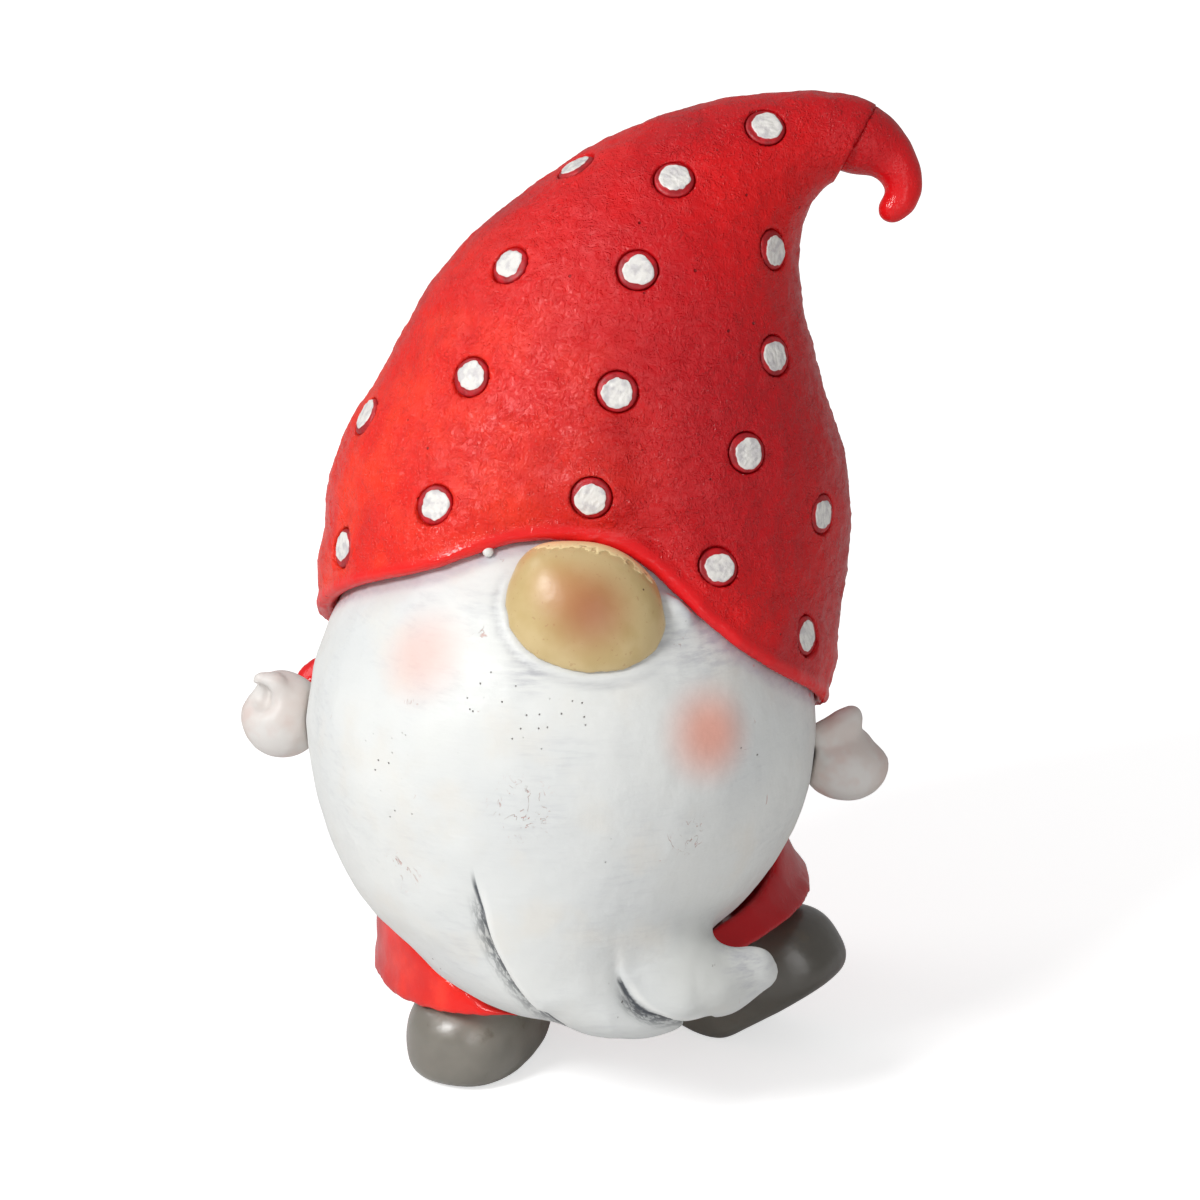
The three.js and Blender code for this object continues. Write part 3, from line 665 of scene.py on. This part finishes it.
def makeBeard():
    form = beardForm
    piece = copyOf("head", "head_and_beard")
    remesh(piece, form["voxel"])
    tip, tuft, root, bottom = form["tip"], form["tuft"], form["root"], form["bottom"]
    u, w, v = inHead(pointsOf(piece))
    atTip = fade(u, *tip["u"]) * fade(-v, *tip["down"]) * fade(w, *tip["w"])
    atTuft = 1 - fade(np.hypot(u - tuft["u"], v - tuft["v"]), *tuft["reach"])
    relax(piece, form["passes"], 1 - form["kept"] * np.maximum(atTip, atTuft))
    u, w, v = inHead(pointsOf(piece))
    wide, high = root["half"]
    toRoot = np.hypot((u - root["u"]) / wide, (v - root["v"]) / high)
    relax(piece, root["passes"], fade(toRoot, *root["reach"]) * fade(w, *root["w"]), keep=0)
    carveGrooves(piece)
    swell(piece, form["curl"])
    u, w, v = inHead(pointsOf(piece))
    toBottom = np.hypot(u - bottom["u"], v - bottom["v"])
    relax(piece, bottom["passes"], fade(toBottom, *bottom["reach"]), keep=0)
    points = pointsOf(piece)
    push(piece, grain(points, 16, 3) * form["waves"] + grain(points, 5, 5) * form["lumps"])
    markNoseAndBrim(piece)
    return piece


whiteMaterial = whitePaint()
finish(makeBeard(), whiteMaterial, "white_paint", "head")


# A small bead of resin left under the brim, beside the nose

bead = {"u": -13.2, "v": 31.6, "radius": 1.0, "sink": 0.25, "segments": 28, "rings": 18}


def addBall(radius, place, segments, rings):
    bpy.ops.mesh.primitive_uv_sphere_add(segments=segments, ring_count=rings, radius=radius * mm)
    ball = bpy.context.active_object
    ball.data.transform(Matrix.Translation(Vector(place) * mm))
    return ball


def makeBead():
    place = onBall(bead["u"], bead["v"], bead["radius"] - bead["sink"])
    piece = addBall(bead["radius"], place, bead["segments"], bead["rings"])
    piece.name = "resin_bead"
    plain = np.zeros(len(piece.data.vertices))
    for name in ("grooveReach", "grooveRun", "aroundNose", "brimNear"):
        paintAttribute(piece, name, plain)
    paintAttribute(piece, "grooveSide", plain + beardForm["farAway"])
    return piece


finish(makeBead(), whiteMaterial, "white_paint")


# Hat: thick red paint over a felt-like relief, with a round recess for each button

hatForm = {
    "voxel": 0.76, "passes": 60,
    # discs that fill the CAD recesses, and those that cut the round ones
    "plug": {"radius": 4.35, "bottom": -1.8, "top": -0.12, "sides": 24},
    "recess": {"radius": 3.95, "bottom": -1.3, "top": 3.0, "sides": 48},
    "rimReach": 0.6,
    # distances out from the ball, and heights: what is smoothed most, and what keeps its shape
    "skin": (3.0, 6.0), "inside": (0.6, 1.0), "narrow": (94, 106),
    "endFace": {"past": (-2.2, -0.6), "v": (92, 98)},
    "felt": 0.22, "feltStretch": (0.75, 0.75, 1.5), "lumps": 0.3,
    "lip": 2.9, "lipRise": 0.38, "valley": 0.16,
    # height, distance from the brim's edge and width of the swell above the lip and the dip over it
    "bands": [(0.45, 8.5, 3.2), (-0.25, 15, 3.0)],
    # lines seen from ahead, width and height of the folds
    "folds": [([(13.6, 64), (14.2, 55), (15.6, 45), (16.6, 34)], 4.2, -1.0),
              ([(-3.4, 58), (-2.6, 50), (-2.2, 42), (-1.5, 34)], 4.0, -0.5),
              ([(6.5, 62), (6.8, 52), (7.2, 40)], 4.5, 0.35)],
}
seam = {"u": 55.9, "v": 109.1, "heading": 29.6}
seamDown = math.radians(seam["heading"])


def seamSide(points):
    # distance past the seam between the hat and its tip, above zero on the tip's side
    u, w, v = inHead(points)
    return (u - seam["u"]) * math.cos(seamDown) - (v - seam["v"]) * math.sin(seamDown)


seatForm = {"flat": 0.08, "dome": 0.35}


def seatFrame(nodeName):
    # the middle and outward normal of a button's seat. The CAD button's flat side is its underside.
    points = nodePoints(nodeName)
    centre = points.mean(0)
    normal = np.linalg.svd(points - centre)[2][2]
    heights = (points - centre) @ normal
    highest = (heights > heights.max() - seatForm["flat"]).sum()
    lowest = (heights < heights.min() + seatForm["flat"]).sum()
    if highest > lowest:
        normal = -normal
        heights = -heights
    return points[heights.argmax()] - normal * seatForm["dome"], normal


seats = {name: seatFrame(name) for name in sorted(nodes) if name.startswith("hat_dot_")}


def seatMatrix(seat, turn=0.0):
    centre, normal = seat
    spin = Vector(normal).to_track_quat("Z", "Y").to_matrix().to_4x4()
    return Matrix.Translation(Vector(centre) * mm) @ spin @ Matrix.Rotation(turn, 4, "Z")


def discs(form):
    # one disc at each seat
    made = []
    bottom, top = form["bottom"], form["top"]
    for seat in seats.values():
        depth = (top - bottom) * mm
        bpy.ops.mesh.primitive_cylinder_add(vertices=form["sides"], radius=form["radius"] * mm, depth=depth)
        disc = bpy.context.active_object
        disc.data.transform(seatMatrix(seat) @ Matrix.Translation((0, 0, (top + bottom) / 2 * mm)))
        made.append(disc)
    return made


def shapeSkin(piece):
    # adds the lip's roll and the folds, and gives back where the felt lies
    form = hatForm
    points = pointsOf(piece)
    outer = fade(fromBall(points), 1.6, 2.6)
    toBrim = reachToLine(points, brimLine)
    band = np.cos(np.minimum(toBrim / form["lip"], 1) * math.pi / 2) ** 0.8
    valley = hump(toBrim - form["lip"] - 0.6, 0.8)
    push(piece, (form["lipRise"] * band - form["valley"] * valley) * outer)
    u, w, v = inHead(pointsOf(piece))
    folds = sum(height * hump(toBrim - away, width) for height, away, width in form["bands"])
    for knots, width, height in form["folds"]:
        side, share = sideOf(u, v, smoothLine(knots))
        folds += height * hump(side, width) * fade(w, 6, 16) * fade(share, 0, 0.35)
    push(piece, folds * outer * fade(toBrim, 2.5, 5))
    return fade(fromBall(points), 2.0, 3.5) * fade(toBrim, form["lip"], form["lip"] + 1.5)


def cutRecesses(piece):
    form = hatForm["recess"]
    cutter, *others = discs(form)
    joinInto(cutter, others)
    applyModifier(piece, "BOOLEAN", operation="DIFFERENCE", object=cutter, solver="MANIFOLD")
    bpy.data.objects.remove(cutter)
    # soften the rims that the cut left
    points = pointsOf(piece)
    near = np.zeros(len(points))
    for centre, normal in seats.values():
        offset = points - centre
        height = offset @ normal
        reach = np.linalg.norm(offset - np.outer(height, normal), axis=1)
        atRim = (np.abs(reach - form["radius"]) < hatForm["rimReach"]) & (np.abs(height) < 1.0)
        near = np.maximum(near, atRim * 1.0)
    relax(piece, 3, near, keep=0)


def makeHat():
    form = hatForm
    piece = copyOf("hat", "felt_hat")
    setPoints(piece, lifted(pointsOf(piece)))
    joinInto(piece, discs(form["plug"]))
    remesh(piece, form["voxel"])
    keepLargest(piece)
    # smooth the skin most, and keep the lip, the narrow top and the face at the seam
    points = pointsOf(piece)
    u, w, v = inHead(points)
    out = fromBall(points)
    skin = fade(out, *form["skin"])
    inside = 1 - fade(out, *form["inside"])
    narrow = fade(v, *form["narrow"])
    endFace = fade(seamSide(points), *form["endFace"]["past"]) * fade(v, *form["endFace"]["v"])
    weight = (0.06 + 0.94 * skin) * (1 - 0.75 * narrow) * (1 - 0.95 * inside) * (1 - endFace)
    relax(piece, form["passes"], weight)
    relax(piece, 2, 1 - endFace)
    felt = shapeSkin(piece) * (1 - endFace)
    points = pointsOf(piece)
    fine = grain(points * np.array(form["feltStretch"]), 2.3, 11, 3)
    push(piece, (fine * form["felt"] + grain(points, 8, 12) * form["lumps"]) * felt)
    cutRecesses(piece)
    toBrim = reachToLine(pointsOf(piece), brimLine)
    paintAttribute(piece, "lip", 1 - fade(toBrim, form["lip"] - 0.8, form["lip"] + 0.4))
    return piece


# felt is the share of the hat's relief that a paint has; light and dark are the places of a painted lit
# side and a painted shaded side, as u, w, v and two radii
redLook = {
    "hat": {"deep": (184, 4, 20), "mid": (224, 10, 14), "bright": (252, 58, 30), "felt": 1.0,
            "light": (-42, 26, 40, 20, 74), "dark": (26, 34, 56, 10, 44)},
    "coat": {"deep": (168, 4, 16), "mid": (228, 18, 22), "bright": (255, 62, 40), "felt": 0.06,
             "light": (-30, 8, -46, 6, 34), "dark": (36, 0, -36, 8, 32)},
    "lip": (226, 24, 30), "crease": (150, 4, 12), "pit": (84, 6, 10),
    # size, stretch and turn of the two nets of fine creases that cross
    "nets": [(2.6, (0.7, 0.7, 1.5), (0, 28, 0)), (1.7, (1.3, 0.9, 0.8), (15, -24, 30))],
}


def redPaint(name, look):
    paint = Paint(name)
    felt = look["felt"]
    lip = paint.attribute("lip")
    # painted light on the left side, in orange patches, and painted shade on the right side
    paintedLightSide = paint.spot(placeAt(*look["light"][:3]), *look["light"][3:])
    paintedShadeSide = paint.spot(placeAt(*look["dark"][:3]), *look["dark"][3:])
    base = paint.blend(paint.ramp(paint.noise(30, 3), 0.36, 0.62, 0.25, 1), look["deep"], look["mid"])
    base = paint.blend(paint.times(paintedShadeSide, 0.85), base, look["deep"])
    brighter = paint.times(paintedLightSide, paint.ramp(paint.noise(11, 4, 0.6), 0.35, 0.7, 0.3, 0.95))
    base = paint.blend(brighter, base, look["bright"])
    # the smooth lip band is painted a lighter red, partly a painted reflection of light from the beard; on
    # the tip it brightens the casting
    base = paint.blend(paint.times(lip, 0.7), base, redLook["lip"])
    plain = paint.reckon("SUBTRACT", 1.0, paint.times(lip, 0.85))
    creases = []
    for size, scale, turn in redLook["nets"]:
        net = paint.noise(size, 3, 0.55, 1.0, vector=paint.stretch(scale, turn))
        creases.append(paint.thinLines(net, 0.14))
    crease = paint.times(*creases)
    fibres = paint.noise(1.0, 4, 0.62, 1.0, vector=paint.stretch((1, 1, 0.6), (0, 35, 0)))
    # painted shade in the fine creases
    creaseShade = paint.times(paint.reckon("SUBTRACT", 1.0, crease), plain, 0.12 * felt)
    base = paint.blend(creaseShade, base, redLook["crease"])
    cells = paint.cells(3.6)
    here = paint.ramp(cells.outputs["Color"], 0.74, 0.76)
    pit = paint.times(here, paint.ramp(cells.outputs["Distance"], 0.05, 0.1, 1, 0))
    base = paint.blend(paint.times(pit, 0.7 * felt), base, redLook["pit"])
    relief = paint.bump(paint.noise(4.5, 3), 0.3 * felt + 0.1)
    relief = paint.bump(paint.times(crease, plain), 0.14 * felt + 0.01, relief)
    relief = paint.bump(paint.times(fibres, plain), 0.26 * felt + 0.01, relief)
    relief = paint.bump(paint.times(pit, -1.0), 0.3 * felt, relief)
    rough = paint.ramp(paint.noise(6, 3), 0.3, 0.7, 0.42, 0.56)
    return paint.done(base, rough, relief, specular=0.1, coat=0.5, coatRough=0.12)


hatMaterial = redPaint("felt_red_paint", redLook["hat"])
finish(makeHat(), hatMaterial, "hat_red", "hat")


# Hat tip: a smoother and brighter casting, glued on

tipForm = {"voxel": 0.34, "passes": 60, "base": 0.2, "closing": 0.45, "lumps": 0.12, "smooth": (0.1, 2.0),
           "bright": 0.9, "brightens": (1, 14)}


def makeTip():
    form = tipForm
    piece = copyOf("hat_tip", "curled_hat_tip")
    # its base closes the glue gap
    points = pointsOf(piece)
    base = np.abs(seamSide(points)) < form["base"]
    points[base] -= form["closing"] * (math.cos(seamDown) * across - math.sin(seamDown) * rise)
    setPoints(piece, points)
    remesh(piece, form["voxel"])
    weight = fade(seamSide(pointsOf(piece)), *form["smooth"])
    relax(piece, form["passes"], weight)
    push(piece, grain(pointsOf(piece), 5, 9) * form["lumps"] * weight)
    paintAttribute(piece, "lip", form["bright"] * fade(seamSide(pointsOf(piece)), *form["brightens"]))
    return piece


finish(makeTip(), hatMaterial, "hat_red", "hat_tip")


# Painted buttons: a red disc with an uneven daub of white on it

button = {
    "radius": 3.68, "floor": -1.2, "edge": -0.4, "rounding": 0.35, "crown": 0.1, "rings": 22, "sides": 60,
    "daub": 2.82, "ragged": 0.15, "offset": 0.28, "softness": 0.14, "thick": 0.24, "swirl": 0.14,
    "red": (152, 4, 18), "brightRed": (188, 9, 24), "white": (226, 223, 218), "greyWhite": (200, 196, 196),
}


def buttonMaster():
    # a disc of rings, 1 mm thick until each button gets its own heights
    form = button
    bpy.ops.mesh.primitive_circle_add(vertices=form["sides"], radius=form["radius"] * mm)
    master = bpy.context.active_object
    bpy.ops.object.mode_set(mode="EDIT")
    bpy.ops.mesh.select_all(action="SELECT")
    bpy.ops.mesh.edge_face_add()
    bpy.ops.mesh.select_all(action="SELECT")
    bpy.ops.mesh.extrude_region_move(TRANSFORM_OT_translate={"value": (0, 0, mm)})
    step = form["radius"] / form["rings"]
    for _ in range(form["rings"] - 1):
        bpy.ops.mesh.inset(thickness=step * mm, depth=0)
    bpy.ops.mesh.poke()
    bpy.ops.mesh.select_all(action="SELECT")
    bpy.ops.mesh.normals_make_consistent(inside=False)
    bpy.ops.object.mode_set(mode="OBJECT")
    return master


def roundNoise(angles, size, shift):
    # noise along a circle, one value for each angle
    return np.array([noise.noise(Vector((math.cos(a), math.sin(a), 0)) * size + shift) for a in angles])


def buttonShape(points, index):
    # heights of a button's points, and the share of white paint on each
    form = button
    x, y, z = points.T
    top = z > 0.5
    reach = np.hypot(x, y)
    angle = np.arctan2(y, x)
    shift = Vector((index * 3.7, index * 1.9, 0))
    ragged = roundNoise(angle, 1.1, shift) + 0.5 * roundNoise(angle, 3.1, shift)
    offset = form["offset"] * np.array([math.cos(index * 2.4), math.sin(index * 2.4)])
    fromDaub = np.hypot(x - offset[0], y - offset[1])
    edge = form["daub"] * (1 + form["ragged"] * ragged)
    paint = (1 - fade(fromDaub, edge - form["softness"], edge + form["softness"])) * top
    swirl = np.array([noise.noise(Vector((a * 0.9, b * 1.6, 0)) + shift) for a, b in zip(x, y)])
    share = reach / form["radius"]
    dome = form["crown"] * (1 - share**2) + form["rounding"] * (1 - share**14)
    height = form["edge"] + dome + paint * (form["thick"] + form["swirl"] * swirl)
    return np.where(top, height, form["floor"]), paint


def makeButtons():
    master = buttonMaster()
    flat = pointsOf(master)
    made = []
    for index, (nodeName, seat) in enumerate(seats.items()):
        piece = master.copy()
        piece.data = master.data.copy()
        piece.name = f"button_{index + 1:02d}"
        bpy.context.scene.collection.objects.link(piece)
        points = flat.copy()
        points[:, 2], paint = buttonShape(flat, index)
        setPoints(piece, points)
        paintAttribute(piece, "daub", paint)
        piece.data.transform(seatMatrix(seat, index * 1.3))
        made.append((piece, nodeName))
    bpy.data.objects.remove(master)
    return made


def daubPaint():
    paint = Paint("white_daub_on_red")
    red = paint.blend(paint.ramp(paint.noise(2.2, 3), 0.4, 0.65), button["red"], button["brightRed"])
    white = paint.blend(paint.ramp(paint.noise(1.6, 3), 0.42, 0.66), button["white"], button["greyWhite"])
    base = paint.blend(paint.ramp(paint.attribute("daub"), 0.35, 0.6), red, white)
    return paint.done(base, 0.4, paint.bump(paint.noise(0.8, 3, 0.6, 0.8), 0.14))


daubMaterial = daubPaint()
for piece, nodeName in makeButtons():
    finish(piece, daubMaterial, "dot_white", nodeName)


# Nose

noseForm = {
    "voxel": 0.42, "passes": 70, "lumps": 0.05, "keep": 1,
    "wider": 0.045, "taller": 0.055,  # to its right and below
    "swell": [(-4.5, 31, 5.5, 1.5)],
    "edge": 1.5, "chips": 0.9, "chipSize": 1.5, "sharp": 0.35,  # of the worn band under the brim
    "base": (204, 180, 130), "olive": (194, 168, 114), "worn": (242, 220, 166), "speck": (168, 112, 74),
    "pit": (96, 56, 34),
    # u, v, height over the ball, inner and outer radius, strength and colour
    "blushes": [(5.4, 21.6, 8, 1, 12, 0.9, (164, 93, 48)), (-0.6, 25.5, 7, 0.5, 8, 0.45, (190, 126, 76))],
}


def nosePaint():
    paint = Paint("tan_nose_paint")
    form = noseForm
    base = paint.blend(paint.ramp(paint.noise(9, 3), 0.4, 0.62), form["base"], form["olive"])
    for u, v, lift, inner, outer, strength, blush in form["blushes"]:
        base = paint.blend(paint.times(paint.spot(onBall(u, v, lift), inner, outer), strength), base, blush)
    upper = paint.attribute("upper")
    base = paint.blend(paint.ramp(upper, 0.4, 0.6), base, form["worn"])
    base = paint.blend(paint.ramp(paint.noise(0.9, 2), 0.66, 0.72, 0, 0.35), base, form["speck"])
    cells = paint.cells(6)
    here = paint.ramp(cells.outputs["Color"], 0.7, 0.72)
    pit = paint.times(here, paint.ramp(cells.outputs["Distance"], 0.03, 0.05, 1, 0))
    base = paint.blend(pit, base, form["pit"])
    relief = paint.bump(paint.noise(3.5, 3), 0.1)
    relief = paint.bump(upper, 0.2, relief)
    return paint.done(base, 0.42, relief, coat=0.3, coatRough=0.3)


def makeNose():
    form = noseForm
    piece = softCopy("nose", "round_nose", form)
    points = pointsOf(piece)
    u, w, v = inHead(points)
    wider = np.outer((u - u.max()) * form["wider"], across)
    taller = np.outer((v - v.max()) * form["taller"], rise)
    setPoints(piece, points + (wider + taller))
    swell(piece, form["swell"])
    points = pointsOf(piece)
    u, w, v = inHead(points)
    edgeU, edgeW, edgeV = inHead(brimLine)
    edge = np.c_[edgeU, edgeV][edgeW > 8]
    toEdge = np.linalg.norm(np.c_[u, v][:, None] - edge, axis=2).min(1)
    chips = grain(points, form["chipSize"], 21, 3)
    worn = (form["edge"] + form["chips"] * chips - toEdge) / form["sharp"]
    paintAttribute(piece, "upper", 0.5 + 0.5 * np.clip(worn, -1, 1))
    return piece


finish(makeNose(), nosePaint(), "nose_paint", "nose")


# Coat and sleeves

coatForm = {"voxel": 0.7, "passes": 40, "lumps": 0.12, "keep": 2,
            "shoulder": {"u": (24, 34), "v": (-42, -26), "down": 3.4, "in": 0.8}}
sleeveForm = {"voxel": 0.5, "passes": 20, "lumps": 0.08, "keep": 1, "squeeze": 0.6, "below": -8}
coatMaterial = redPaint("coat_red_paint", redLook["coat"])


def makeCoat():
    piece = softCopy("coat", "flared_coat", coatForm)
    # its shoulder lies lower at the gnome's left
    points = pointsOf(piece)
    u, w, v = inHead(points)
    form = coatForm["shoulder"]
    lower = fade(u, *form["u"]) * fade(v, *form["v"])
    setPoints(piece, points - np.outer(form["down"] * lower, rise) - np.outer(form["in"] * lower, across))
    return piece


def makeSleeve(side):
    piece = softCopy(f"{side}_sleeve", f"{side}_short_sleeve", sleeveForm)
    if side == "left":
        # its lower part is shorter
        points = pointsOf(piece)
        u, w, v = inHead(points)
        shorter = sleeveForm["squeeze"] * np.maximum(sleeveForm["below"] - v, 0)
        setPoints(piece, points + np.outer(shorter, rise))
    return piece


finish(makeCoat(), coatMaterial, "coat_red", "coat")
for side in ("right", "left"):
    finish(makeSleeve(side), coatMaterial, "coat_red", f"{side}_sleeve")


# Mitten hands

mitten = {
    "voxel": 0.4, "passes": 26, "lumps": 0.1,
    # flesh between the left hand's wrist and thumb: u, w, v and radius
    "web": [(50.1, -1, -2.9, 3.0), (51.8, -1, -1.9, 3.0), (53.4, -1.2, -0.9, 3.0)],
    "right": [(-57.5, 4.2, 2.4, -3.0), (-54.5, 7.6, 3, 0.5)],
    "left": [(60.8, -3.6, 4.0, -1.3), (56.5, -13.5, 4.0, 0.4)],
    "base": (216, 212, 208), "warm": (210, 200, 194), "pink": (208, 182, 174),
}


def mittenPaint():
    paint = Paint("white_mitten_paint")
    base = paint.blend(paint.ramp(paint.noise(8, 3), 0.4, 0.65), mitten["base"], mitten["warm"])
    base = paint.blend(paint.ramp(paint.noise(5, 2), 0.5, 0.75, 0, 0.5), base, mitten["pink"])
    return paint.done(base, 0.46, paint.bump(paint.noise(3, 3), 0.14), specular=0.4)


def makeMitten(side):
    piece = copyOf(f"{side}_mitten", f"{side}_mitten_hand")
    if side == "left":
        joinInto(piece, [addBall(radius, placeAt(u, w, v), 24, 16) for u, w, v, radius in mitten["web"]])
    remesh(piece, mitten["voxel"])
    keepLargest(piece)
    relax(piece, mitten["passes"])
    swell(piece, mitten[side])
    relax(piece, 8)
    push(piece, grain(pointsOf(piece), 6, 17) * mitten["lumps"])
    return piece


mittenMaterial = mittenPaint()
for side in ("right", "left"):
    finish(makeMitten(side), mittenMaterial, "mitten_white", f"{side}_mitten")


# Boots

boot = {
    "voxel": 0.5, "passes": 70, "lumps": 0.06, "keep": 1,
    "base": (120, 116, 107), "pale": (134, 129, 119), "dark": (70, 66, 59), "brown": (92, 80, 64),
    # the place and reach of the painted shade
    "shadePlace": (46, -2, 20), "shadeReach": (4, 36),  # on the kicked-up boot
}


def bootPaint():
    paint = Paint("warm_grey_boot_paint")
    base = paint.blend(paint.ramp(paint.noise(12, 3), 0.38, 0.64), boot["base"], boot["pale"])
    # painted shade on the kicked-up boot
    bootShade = paint.times(paint.spot(boot["shadePlace"], *boot["shadeReach"]), 0.92)
    base = paint.blend(bootShade, base, boot["dark"])
    base = paint.blend(paint.ramp(paint.noise(5, 4, 0.6), 0.58, 0.74, 0, 0.5), base, boot["brown"])
    rough = paint.ramp(paint.noise(3, 3), 0.3, 0.7, 0.28, 0.38)
    relief = paint.bump(paint.noise(4, 3), 0.12)
    return paint.done(base, rough, relief, specular=0.6, coat=0.4, coatRough=0.26)


def makeBoot(side):
    piece = softCopy(f"{side}_boot", f"{side}_stout_boot", boot)
    points = pointsOf(piece)
    points[:, 2] = np.maximum(points[:, 2], 0)
    setPoints(piece, points)
    return piece


bootMaterial = bootPaint()
for side in ("right", "left"):
    finish(makeBoot(side), bootMaterial, "boot_grey", f"{side}_boot")


# Stage: pale floor, soft light and the camera

stage = {
    "floor": 8.0,
    "floorTone": 0.78,
    "lift": (0.6, 0.8),  # of the floor as the camera sees it, near the figure and away from its shadow
    "liftReach": (100, 900),
    "world": 0.36,
    # place and aim in the frame's own axes, size and power
    "lamps": {
        "soft_key": ((-600, -560, 680), (0, 0, 90), 300, 6.5),
        "front_fill": ((260, -900, 350), (0, 0, 90), 600, 1.7),
        "left_sheen": ((-680, 180, 760), (0, 0, 120), 380, 1.5),
    },
    "aim": (7.2, 0, 22.8),  # of the camera, as u, w and v
    "distance": 850.0,
    "scale": 0.19,  # mm for each pixel of the frame
    "frame": 1200,
    "sensor": 36,
}


def seenByCamera(tree):
    # the floor and the sky are paler to the camera than to the figure
    return tree.nodes.new("ShaderNodeLightPath").outputs["Is Camera Ray"]


def makeFloor():
    bpy.ops.mesh.primitive_plane_add(size=stage["floor"])
    floor = bpy.context.active_object
    floor.name = "studio_floor"
    paint = Paint("pale_floor")
    away = paint.add("ShaderNodeVectorMath", operation="LENGTH")
    paint.wire(paint.coords, away.inputs[0])
    near, far = stage["liftReach"]
    lift = paint.ramp(away.outputs["Value"], near * mm, far * mm, *stage["lift"], kind="LINEAR")
    tone = stage["floorTone"]
    paint.wire((tone, tone, tone, 1), paint.shader.inputs["Base Color"])
    paint.wire(1.0, paint.shader.inputs["Roughness"])
    paint.wire(0.0, paint.shader.inputs["Specular IOR Level"])
    paint.wire((1, 1, 1, 1), paint.shader.inputs["Emission Color"])
    paint.wire(paint.times(seenByCamera(paint.tree), lift), paint.shader.inputs["Emission Strength"])
    floor.data.materials.append(paint.material)


def makeWorld():
    world = bpy.data.worlds.new("pale_studio")
    bpy.context.scene.world = world
    world.use_nodes = True
    tree = world.node_tree
    background = tree.nodes["Background"]
    background.inputs["Color"].default_value = (1, 1, 1, 1)
    level = tree.nodes.new("ShaderNodeMapRange")
    tree.links.new(seenByCamera(tree), level.inputs["Value"])
    level.inputs["To Min"].default_value = stage["world"]
    level.inputs["To Max"].default_value = 1.0
    tree.links.new(level.outputs["Result"], background.inputs["Strength"])


def addLamp(name, place, aim, size, power):
    bpy.ops.object.light_add(type="AREA", location=[number * mm for number in place])
    lamp = bpy.context.active_object
    lamp.name = name
    lamp.data.shape = "DISK"
    lamp.data.size = size * mm
    lamp.data.energy = power
    toward = Vector([number * mm for number in aim]) - lamp.location
    lamp.rotation_euler = toward.to_track_quat("-Z", "Y").to_euler()


def addCamera():
    place = placeAt(*stage["aim"]) + stage["distance"] * ahead
    bpy.ops.object.camera_add(location=[number * mm for number in place])
    camera = bpy.context.active_object
    camera.rotation_euler = (math.radians(90 - head["tilt"]), 0, 0)
    camera.data.sensor_width = stage["sensor"]
    camera.data.lens = stage["sensor"] * stage["distance"] / (stage["scale"] * stage["frame"])
    camera.data.dof.use_dof = False
    bpy.context.scene.camera = camera


makeFloor()
makeWorld()
for name, values in stage["lamps"].items():
    addLamp(name, *values)
addCamera()
bpy.context.scene.view_settings.view_transform = "Standard"
print("stage made:", len(stage["lamps"]), "lamps")
